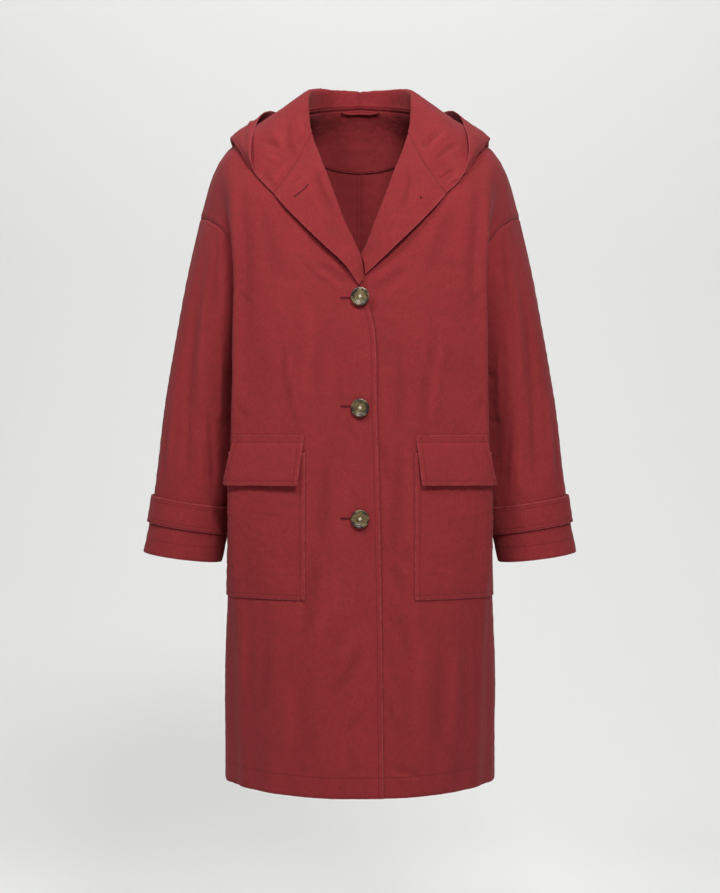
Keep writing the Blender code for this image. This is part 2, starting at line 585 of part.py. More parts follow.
def build_cuff_strap(pieces, word, cloth):
    """A plain closed band round the sleeve, over both its seams."""
    halves = (pieces["sleeve_front_" + word], pieces["sleeve_back_" + word])
    last = YOKE_ROWS
    round_it = [(halves[0], column) for column in range(last)]
    round_it += [(halves[1], column) for column in range(last, 0, -1)]
    rows = np.linspace(STRAP_FROM, STRAP_TO, 3)
    rings = []
    for stand in (STRAP_STAND, STRAP_STAND + LAID):
        for row in rows:
            ring = []
            for half, column in round_it:
                point, normal = on_net(half, row, column)
                if column in (0, last):
                    other = halves[1] if half is halves[0] else halves[0]
                    normal = unit(normal + on_net(other, row, column)[1])
                ring.append(point + normal * stand)
            rings.append(ring)
    inner, outer = rings[: len(rows)], rings[len(rows) :]
    circuit = inner + outer[::-1]
    add_rings("cuff_strap_" + word, circuit, cloth, closed=True)


def add_rings(name, rings, finish, closed):
    """A solid skinned over a row of rings, which come back to the first or end in flat caps."""
    count = len(rings[0])
    faces = []
    for i in range(len(rings) if closed else len(rings) - 1):
        here, after = i * count, (i + 1) % len(rings) * count
        for j in range(count):
            k = (j + 1) % count
            faces.append((here + j, here + k, after + k, after + j))
    if not closed:
        faces.append(tuple(range(count))[::-1])
        faces.append(tuple((len(rings) - 1) * count + j for j in range(count)))
    points = np.array([point for ring in rings for point in ring])
    if signed_volume(points, faces) < 0:
        faces = [face[::-1] for face in faces]
    return add_object(name, points, faces, finish)


def signed_volume(points, faces):
    total = 0.0
    for face in faces:
        for b, c in zip(face[1:], face[2:]):
            total += points[face[0]] @ np.cross(points[b], points[c])
    return total / 6


def build_back_facing(back, cloth):
    """One piece inside the back of the neck, across the centre seam."""
    half = Piece("back", back, -1, LEFT)
    columns = list(range(-NECK_STOP, NECK_STOP + 1))
    rows = []
    for course in (FACING_TOP, 1.0, 2.0, 3.0, None, None):
        row = []
        for column in columns:
            foot = FACING_DEPTH - FACING_RISE * column**2
            if course is None:
                course_here = foot if len(rows) == 5 else (foot + 3.0) / 2
            else:
                course_here = course
            point, normal = on_net(half, course_here, abs(column))
            mirror = np.array([-1.0 if column < 0 else 1.0, 1.0, 1.0])
            if column == 0:
                normal = unit(normal * np.array([0.0, 1.0, 1.0]))
            row.append((point * mirror, normal * mirror))
        rows.append(row)
    points = np.array([[point for point, _ in row] for row in rows])
    normals = np.array([[normal for _, normal in row] for row in rows])
    facing = Piece("back_neck_facing", points, -1)
    near = (points - normals * (SHELL + REST)).reshape(-1, 3)
    far = (points - normals * (SHELL + REST + FACING)).reshape(-1, 3)
    add_wall(facing, near, far, cloth)


def build_hanger_loop(back, cloth):
    """A thin cord loop that hangs inside the back of the neck."""
    half = Piece("back", back, -1, LEFT)
    inset = SHELL + 2 * REST + FACING + LOOP_RADIUS
    route = []
    for column, course in LOOP_ROUTE:
        point, normal = on_net(half, course, column)
        route.append(point - normal * inset)
    route += [point * np.array([-1.0, 1.0, 1.0]) for point in route[-2::-1]]
    add_tube("hanger_loop", route, LOOP_RADIUS, cloth)


def add_tube(name, route, radius, finish, sides=8):
    route = np.array(route)
    rings = []
    for i, point in enumerate(route):
        way = unit(route[min(i + 1, len(route) - 1)] - route[max(i - 1, 0)])
        across_it = unit(np.cross(way, (0.0, 1.0, 0.0)))
        other = np.cross(way, across_it)
        turns = [2 * math.pi * side / sides for side in range(sides)]
        rings.append(
            [point + radius * (math.cos(turn) * across_it + math.sin(turn) * other) for turn in turns]
        )
    return add_rings(name, rings, finish, closed=False)


def build_button(number, front, horn):
    """A turned four-hole button that lies on the over front, in the middle."""
    level = BUTTON_LEVELS[number]
    column = float(np.interp(0.0, -front.net[YOKE_ROWS, :, 0], np.arange(front.columns)))
    levels = [on_net(front, row, column)[0][2] for row in range(front.rows)]
    course = float(np.interp(-level, [-height for height in levels], np.arange(front.rows)))
    for _ in range(3):  # settle on the column that is in the middle at this course
        out = [-on_net(front, course, place)[0][0] for place in range(front.columns)]
        column = float(np.interp(0.0, out, np.arange(front.columns)))
    seat, face = on_net(front, course, column)
    face = unit(face * np.array([0.0, 1.0, 1.0]))
    right = np.array([1.0, 0.0, 0.0])
    upward = np.cross(right, face)
    seat = seat + face * REST

    def ring_at(radius, height, sides, centre=(0.0, 0.0)):
        turns = [2 * math.pi * side / sides for side in range(sides)]
        return [
            seat
            + right * (centre[0] + radius * math.cos(turn))
            + upward * (centre[1] + radius * math.sin(turn))
            + face * height
            for turn in turns
        ]

    rings = [ring_at(radius, height, BUTTON_SIDES) for radius, height in BUTTON_PROFILE]
    button = add_rings("button_%d" % (number + 1), rings, horn, closed=False)
    for i, (along, up) in enumerate(((-1, -1), (1, -1), (1, 1), (-1, 1))):
        centre = (along * HOLE_SPREAD, up * HOLE_SPREAD)
        ends = [ring_at(HOLE_RADIUS, height, HOLE_SIDES, centre) for height in (-0.004, 0.008)]
        cutter = add_rings("%s_hole_%d" % (button.name, i + 1), ends, horn, closed=False)
        cutter.hide_render = True
        cutter.display_type = "WIRE"
        hole = button.modifiers.new("hole", "BOOLEAN")
        hole.operation = "DIFFERENCE"
        hole.object = cutter
    return button


def build_shell(cloth):
    """Fronts, backs, sleeves, hood and lapels, all sewn together."""
    pieces = []
    back = back_net()
    for side, word in ((RIGHT, "right"), (LEFT, "left")):
        front = front_net(side)
        collar = collar_net(front, back, side)
        last = BREAK_ROW if side == RIGHT else UNDER_BREAK_ROW
        pieces.append(Piece("front_" + word, front, 1, side))
        pieces.append(Piece("back_" + word, back, -1, side))
        pieces.append(Piece("hood_" + word, collar[: GORGE + 1], -1, side, HOOD))
        pieces.append(Piece("lapel_" + word, collar[GORGE : NECK_STOP + last + 1], -1, side))
        pieces.append(Piece("sleeve_front_" + word, sleeve_net(front[: YOKE_ROWS + 1, -1], -1), -1, side))
        pieces.append(Piece("sleeve_back_" + word, sleeve_net(back[: YOKE_ROWS + 1, -1], 1), 1, side))
    walls = sewn_walls(pieces)
    for piece in pieces:
        add_wall(piece, *walls[piece.name], cloth)
    return {piece.name: piece for piece in pieces}


def main():
    remove_all()
    cloth = material("red_cotton_twill", colour(0x8C, 0x2D, 0x33), 0.85)
    horn = material("horn", colour(0x5A, 0x4C, 0x36), 0.35)
    pieces = build_shell(cloth)
    for word in ("right", "left"):
        build_pockets(pieces, word, cloth)
        build_cuff_strap(pieces, word, cloth)
    back = back_net()
    build_back_facing(back, cloth)
    build_hanger_loop(back, cloth)
    for number in range(len(BUTTON_LEVELS)):
        build_button(number, pieces["front_right"], horn)


main()
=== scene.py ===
"""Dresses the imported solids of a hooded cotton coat: cloth, sewing, creases, horn buttons, stage.

Every cloth piece is drawn from the same sections as its solid, in the same frame, but finely
enough for its creases. Metres, +Z up, +Y towards the coat's back, +X towards the wearer's left. The
tables of sections, folds and creases are in millimetres.
"""

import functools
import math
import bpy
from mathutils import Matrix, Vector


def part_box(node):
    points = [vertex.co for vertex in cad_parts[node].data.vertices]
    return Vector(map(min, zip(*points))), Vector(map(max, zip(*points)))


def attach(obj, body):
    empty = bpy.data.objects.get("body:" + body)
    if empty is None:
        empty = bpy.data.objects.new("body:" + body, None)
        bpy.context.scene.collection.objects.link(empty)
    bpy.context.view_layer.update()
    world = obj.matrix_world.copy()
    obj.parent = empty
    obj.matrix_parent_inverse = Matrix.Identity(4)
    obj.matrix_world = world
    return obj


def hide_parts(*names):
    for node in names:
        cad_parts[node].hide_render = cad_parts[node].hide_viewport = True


bl_info = {
    "name": "Hooded Coat",
    "version": (1, 0, 0),
    "blender": (4, 5, 0),
    "location": "View3D > Sidebar > Coat",
    "description": "Builds the cloth, sewing and buttons of a hooded coat, and a studio for it",
    "category": "Add Mesh",
}

from collections import namedtuple

import bpy
import numpy as np
from mathutils import Vector
from mathutils.kdtree import KDTree

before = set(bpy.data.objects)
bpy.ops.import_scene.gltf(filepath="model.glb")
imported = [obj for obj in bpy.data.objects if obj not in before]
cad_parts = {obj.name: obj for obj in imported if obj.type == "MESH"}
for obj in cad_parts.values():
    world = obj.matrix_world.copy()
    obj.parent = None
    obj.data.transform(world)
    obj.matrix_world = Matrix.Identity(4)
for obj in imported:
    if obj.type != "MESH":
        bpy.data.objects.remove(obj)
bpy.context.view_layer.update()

RIGHT, BOTH, LEFT = -1, 0, 1  # the wearer's right is at -X
WORDS = {RIGHT: "right", LEFT: "left"}
MM = 0.001


# ---------------------------------------------------------------- driving sizes, as in the solids
REST = 0.0010  # gap under a piece that lies on a panel
LAP_STOP = 2  # column where the lap of one front over the other ends
LAP_WIDTH = 0.037  # how far from the centre line that is
LAP_CURVE = 0.0012  # how far back it lies from the front edge
UNDER_SHIFT = 0.0042  # how far the under front lies behind the over front
UNDER_FADE = 0.095  # how far from the centre line that shift has died away
YOKE_ROWS = 11  # courses from the shoulder seam to the underarm
SKIRT_ROWS = 12  # courses from the underarm to the hem
SLEEVE_ROWS = 12  # courses from the armhole to the cuff
BREAK_ROW = 9  # course where the over front stops turning back
UNDER_BREAK_ROW = 8  # the same on the under front
GORGE = 11  # station where the hood is sewn to the lapel
BODY_ROWS = YOKE_ROWS + SKIRT_ROWS
LEAST_BEND = 0.0020  # a hood's fold that is tighter than this counts as none
STRAP_FROM, STRAP_TO = 10.05, 10.95  # the cuff strap's rows on the sleeve
STRAP_STAND = 0.0013  # how far the strap stands off the sleeve
FACING_DEPTH = 4.57  # course that the back neck facing reaches at the centre
FACING_RISE = 0.42 / 5.2**2  # how much sooner it ends, by the square of the column
FACING_TOP = 0.30  # course where the facing begins, just under the neck seam
LOOP_RADIUS = 0.0016
HOOD_WALL = 0.0014
FACING_WALL = 0.0012
LAPEL_HOLE = ((12.64, 9.17), (12.86, 4.33))  # course and column of its two ends
LAPEL_KNOT = ((12.93, 8.0), (12.93, 8.4))  # the same, of the stitches that hold a stay on the left
EDGE_STITCH = 0.0065  # from the edge of a pocket, flap or strap to its row of stitching
COURSES_FINE, COLUMNS_FINE, BACK_FINE = 10, 6, 4  # points to a course and to a column
HOOD_FINE, LAPEL_FINE = 12, 14  # points to a station of the hood and of the lapel
BUTTON_RADIUS = 0.0131
HOLE_RADIUS = 0.0011
HOLE_SPREAD = 0.0021  # how far each hole lies from the button's middle, along and across
BUTTON_TURNS = (32.0, 45.0, 38.0)  # degrees by which each button is turned
HOLE_NEAR, HOLE_FAR = 0.0010, 0.0270  # how far from the centre line a buttonhole reaches

# How far the creases of each front may sink and rise where one laps over the other. That limit
# dies away from a little inside the lap's edge to well outside it, and upwards over some courses.
LAP_SLACK = {RIGHT: (-0.0012, 0.0022), LEFT: (-0.0024, 0.0002)}
LAP_MARGIN, LAP_FADE, LAP_COURSES = 0.006, 0.022, 1.5
OVER_EDGE_RISE, OVER_EDGE_FADE = 0.0009, 0.010  # how the over front's free edge stands off
FREE_EDGE_FADE = 0.010  # from that edge to where its creases are whole

# A seam dips where the two pieces meet, and stands up over the turnings that are pressed to one
# side of it. Stitches pucker the cloth: each pucker is its height, reach, length, drift and swing.
SEAM_DIP, SEAM_HALF = 0.0009, 0.0026
GORGE_DIP = 0.0003  # where the hood meets the lapel, which is pressed flat
TURNING, TURNING_RISE, TURNING_EDGE = 0.0085, 0.00055, 0.003
STITCH_DIP, STITCH_HALF = 0.00022, 0.0016  # the groove of a row of stitching along an edge
Pucker = namedtuple("Pucker", "height reach length drift swing")
SEAM_PUCKER = Pucker(0.00030, 0.0120, 0.0031, 0.037, 2.5)
EDGE_PUCKER = Pucker(0.00022, 0.0060, 0.0033, 0.029, 2.0)
JOIN_GAP = 0.0035  # pieces whose edges are nearer than this are sewn together
MITRE_LEAST = 0.6  # the least cosine that a mitre is drawn out for
EDGE_ROUND = 0.38  # how far a free edge stands out at its middle, as a share of its thickness
FAR_OFF = 60.0  # millimetres, where there is no stitching near

# ---------------------------------------------------------------- the sections, in millimetres
# One line for each section, from the shoulder seam down to the hem. row: its course.
# edge: neckline, roll line, then front edge. turn: where the front begins to turn to the side.
# bulge: the fold that stands in front of the arm. hollow: the valley behind it.
# side: armhole, then side seam.
Front = namedtuple("Front", "name row edge turn bulge hollow side")
FRONT_STOPS = (0, 5, 8, 10, 12)
FRONT = (
    Front("shoulder", 0, (83, 4, -6), (160, 5.5, -44), (198, 6, -66), (219, 6, -103), (236.5, 6, -164)),
    Front("gorge", 3, (75, -42, -49), (160, -52, -76), (194.5, -44, -88), (208.5, -38, -118),
        (219, -36, -171)),
    Front("collarbone", 5, (54, -88, -107), (157, -95, -124), (189.5, -76, -130), (194, -66, -158),
        (199, -61, -187)),
    Front("chest", 7, (21.5, -119, -188), (154, -116, -190), (184.5, -96, -190), (179, -77, -206),
        (174, -68, -226)),
    Front("crossing", 8, (1, -128.5, -228.6), (153, -121, -227), (180, -101, -226), (172, -76, -240),
        (165, -62, -255)),
    Front("break", 9, (-2.5, -134.5, -262), (152.5, -123.5, -263), (178, -103, -263), (166.5, -70, -272),
        (158, -48, -285)),
    Front("underarm", 11, (-20.3, -139, -335), (153, -125.5, -335), (180, -104.5, -335), (160, -47, -335),
        (150, 2, -335)),
    Front("waist", 13, (-23, -141, -444), (155, -123, -444), (183, -100, -444), (162, -45, -444),
        (153.5, 4, -444)),
    Front("hip", 15, (-26.2, -146, -553), (157, -121.5, -553), (186.5, -93, -553), (174.5, -42, -553),
        (169, 5, -553)),
    Front("low hip", 17, (-28.5, -152, -662), (156, -119.5, -662), (187.5, -81, -662), (186, -37, -662),
        (184, 5, -662)),
    Front("thigh", 20, (-31, -163, -825.5), (150, -119, -825.5), (185, -69, -825.5), (196, -29, -825.5),
        (198, 5, -825.5)),
    Front("hem", 23, (-32.5, -171.5, -989), (144, -120, -989), (182, -61, -989), (197.5, -22, -989),
        (201, 5, -989)),
)

# The back. Its top runs along the back of the neck as far as the column called neck, and then
# along the shoulder seam. The shoulder and side seams are the front's own points.
Back = namedtuple("Back", "name row centre nape neck turn bulge hollow")
BACK_STOPS = (0, 4, 8, 13, 16, 18, 20)
NECK_STOP = BACK_STOPS[2]
BACK = (
    Back("neckline", 0, (0, 79, 11), (48, 64, 6), FRONT[0].edge, FRONT[0].turn, FRONT[0].bulge,
        FRONT[0].hollow),
    Back("gorge", 3, (0, 102, -42), (48, 98.5, -43), (92, 80, -48), (160, 60, -73), (194, 52, -89),
        (209, 46, -120)),
    Back("blade", 5, (0, 115, -100), (48, 113, -101), (90, 106, -105), (157, 92, -124), (189, 77, -133),
        (195, 69, -160)),
    Back("chest", 7, (0, 122, -175), (48, 120.5, -175.5), (90, 116, -178), (154, 108, -188),
        (183.5, 94, -193), (179, 82, -210)),
    Back("break", 9, (0, 125, -255), (48, 123.5, -256), (90, 120, -258), (152, 118, -262), (178, 101, -264),
        (166, 74, -275)),
    Back("underarm", 11, (0, 126, -335), (48, 125, -335), (90, 122, -335), (151, 116, -335),
        (178, 99, -335), (159, 50, -335)),
    Back("waist", 13, (0, 127, -444), (48, 126, -444), (90, 122.5, -444), (152, 114, -444), (180, 95, -444),
        (162, 52, -444)),
    Back("hip", 15, (0, 134, -553), (48, 133, -553), (92, 128.5, -553), (153, 116, -553), (182.5, 92, -553),
        (175, 52, -553)),
    Back("low hip", 17, (0, 143, -662), (49, 141.5, -662), (94, 136, -662), (153, 117, -662),
        (184, 87, -662), (186.5, 47, -662)),
    Back("thigh", 20, (0, 154, -825.5), (50, 152, -825.5), (97, 144, -825.5), (150, 120, -825.5),
        (183.5, 80, -825.5), (195.5, 38, -825.5)),
    Back("hem", 23, (0, 163, -989), (51, 160.5, -989), (100, 151, -989), (146, 124, -989), (181, 74, -989),
        (197, 32, -989)),
)
# The armhole as the back is cut, beside the front's: course by course from the shoulder tip.
Armhole = namedtuple("Armhole", "row side")
BACK_ARMHOLE = (
    Armhole(0, FRONT[0].side),
    Armhole(3, (220, 44, -173.5)),
    Armhole(5, (200, 69, -193)),
    Armhole(7, (175, 75, -232)),
    Armhole(9, (158, 54, -288)),
    Armhole(11, (150, 2, -335)),
)

# The sleeve: one line for each ring, by its share of the way from the armhole to the cuff. outer
# and inner are (out, up). The ring's middle lies at back, and its half depth is deep.
Ring = namedtuple("Ring", "name share outer inner back deep")
SLEEVE = (
    Ring("armhole", 0, (236.5, -164), (150, -335), 4, 69),
    Ring("bicep", 0.16, (253.5, -238), (161, -380), 3, 72),
    Ring("elbow", 0.38, (273.5, -350), (167.5, -446), 0, 69),
    Ring("forearm", 0.6, (290, -455), (175.5, -515), -6, 64),
    Ring("above strap", 0.8, (301, -552), (186, -571), -12, 60),
    Ring("strap", 0.9, (308.5, -603), (194, -621), -15, 58),
    Ring("cuff", 1, (318.5, -653), (203.5, -668), -18, 57),
)

# The hood and the lapels: one line for each station round the neck, from the centre back to where
# the lapel ends. The points are on the cloth's right side, which the hood and the lapel turn under.
# ridge: where the hood rolls over. under: the layer that lies on the coat. fold: the bottom of
# the hood's bag, and bend: the radius that it turns in. swell: the outer layer. rim: the free
# edge. A lapel has no bag, so its bend is nought and its under, fold and swell only lie on the
# way to its rim.
Station = namedtuple("Station", "name number bend ridge under fold swell rim")
COLLAR_STOPS = (0, 2, 4, 6, 7, 8, 9, 10, 12, 14)
COLLAR = (
    Station("centre back", 0, 10, (0, 86, 26.2), (0, 134, -100), (0, 168, -215), (0, 196, -140),
        (0, 190, -50)),
    Station("nape", 3, 10, (37, 76, 28.5), (62, 127, -90), (78, 161, -205), (80, 186, -130),
        (70, 178, -35)),
    Station("neck side", 6, 9, (72, 42, 28.5), (124, 96, -56), (156, 118, -142), (165, 130, -85),
        (126, 98, 4)),
    Station("neck point", 8, 3, (80, 6, 19), (150, 16, -25), (191.5, 14, -47), (176, 7, -31),
        (151, 6, -17.5)),
    Station("shoulder", 9, 2.6, (79, -15, 1.5), (137, -31, -33), (175, -47.5, -69.5), (167.5, -61.5, -66.5),
        (157.5, -66, -63.5)),
    Station("front of hood", 10, 0, (76.5, -32, -22), (114, -62, -60), (147.4, -88.4, -108.8),
        (148.7, -90.5, -107), (149.9, -92.5, -105.3)),
    Station("gorge", 11, 0, (71.5, -49, -47), (90.5, -80, -90), (108, -97, -118), (116.5, -104, -130),
        (122.5, -108.5, -137)),
    Station("upper lapel", 13, 0, (50, -95, -106.5), (69, -104.5, -126), (85, -113, -144),
        (94, -117.5, -154.5), (100.5, -120, -162)),
    Station("lapel", 15, 0, (18, -126, -188.5), (29, -129, -197), (41, -131, -202.5), (47.5, -132.5, -206),
        (53, -133.5, -209)),
    Station("crossing", 16, 0, (-1, -134, -229), (5, -136.5, -231), (13, -138, -234), (17.5, -138.5, -236),
        (22, -139, -238)),
    Station("break", 17, 0, (-2.8, -137.5, -262.4), (-2, -138.5, -263.4), (-0.8, -139.2, -265),
        (0.2, -139.5, -266), (1.2, -139.5, -267)),
)
# The under lapel ends a course sooner, in a point that is tucked behind the over front.
UNDER_TIP = Station(
    "tip", 16, 0, (4, -132.5, -231), (5.4, -134, -236), (6.6, -135, -243), (7.2, -135.5, -247.5),
    (7.8, -135.5, -252))

# ---------------------------------------------------------------- pockets, strap and loop
# A patch pocket lies on the front, wrapped round the bulge: its first and last course and column.
POCKET_COURSES, POCKET_COLUMNS = (14.12, 17.92), (3.0, 8.6)
POCKET_STAND, POCKET_SLACK, POCKET_BAG = 0.0004, 0.0006, 0.0022  # gap under its edges, and more inside
POCKET_SEWN = 0.14  # how far in from its sewn edges it becomes slack, as a share of its size
POCKET_CRUMPLE, POCKET_CRUMPLE_SCALE = 0.00035, 1.7  # its own crumples, smaller than the front's
# The flap over it, from the stitched band at its top to its free lower edge. course: its place
# down the front. near and far: the columns of its two ends. stand: the gap under it, in mm.
Flap = namedtuple("Flap", "name course near far stand")
FLAP = (
    Flap("band top", 13.67, 3.03, 6.45, 0.8),
    Flap("band foot", 13.83, 3.05, 6.45, 0.8),
    Flap("crown", 13.94, 3.07, 6.52, 3.0),
    Flap("middle", 14.40, 3.12, 6.80, 6.6),
    Flap("lower", 14.72, 3.16, 7.00, 8.8),
    Flap("edge", 14.95, 3.20, 7.15, 10.2),
)
FLAP_WAVE, FLAP_WAVES = 0.0007, 1.3  # the height of the waves in its free edge, and how many
FLAP_PHASE = {RIGHT: 0.20, LEFT: 0.55}  # where on each side that wave begins, in turns
STRAP_PROUD, STRAP_PROUD_HALF = 0.0012, 0.22  # how much more it stands off at the outer seam
STRAP_CLOSED = 0.9985  # how far round each half sleeve it goes
# The hanger loop inside the back of the neck: column and course on the back.
LOOP_ROUTE = ((2.35, 0.20), (2.20, 0.32), (1.55, 0.50), (1.30, 0.53), (0.0, 0.55))

# ---------------------------------------------------------------- the folds, in millimetres
# Soft drape folds: ridges where height is over nought and troughs where it is under. The place is
# a column at the top and another at the bottom, so that a fold may lean. half is its half width
# in columns, first and last are the courses between which it swells and dies away.
Fold = namedtuple("Fold", "top bottom half first last height")
FRONT_FOLDS = (
    Fold(6.2, 5.4, 0.75, 3, 13, -4.5),
    Fold(4.0, 3.6, 0.90, 6, 15, 3.5),
    Fold(7.2, 7.6, 0.70, 5, 12, 3.0),
    Fold(5.2, 5.6, 0.80, 15, 26, -6.0),
    Fold(2.6, 2.8, 0.90, 17, 26, 4.0),
    Fold(8.6, 9.2, 0.80, 16, 26, 4.5),
)
BACK_FOLDS = (
    Fold(12.6, 12.0, 0.90, 4, 14, -4.5),
    Fold(9.6, 9.0, 1.00, 6, 16, 3.5),
    Fold(3.6, 3.9, 1.20, 12, 27, -5.5),
    Fold(7.4, 7.9, 1.20, 13, 27, 6.0),
    Fold(11.6, 11.9, 1.20, 15, 27, -6.0),
    Fold(15.2, 15.0, 1.00, 14, 27, 4.5),
)
SLEEVE_FOLDS = (
    Fold(3.0, 4.2, 0.90, 0, 9, -4.5),
    Fold(5.4, 6.4, 0.90, 1, 10, 4.0),
    Fold(7.6, 8.2, 0.90, 2, 11, -4.5),
)

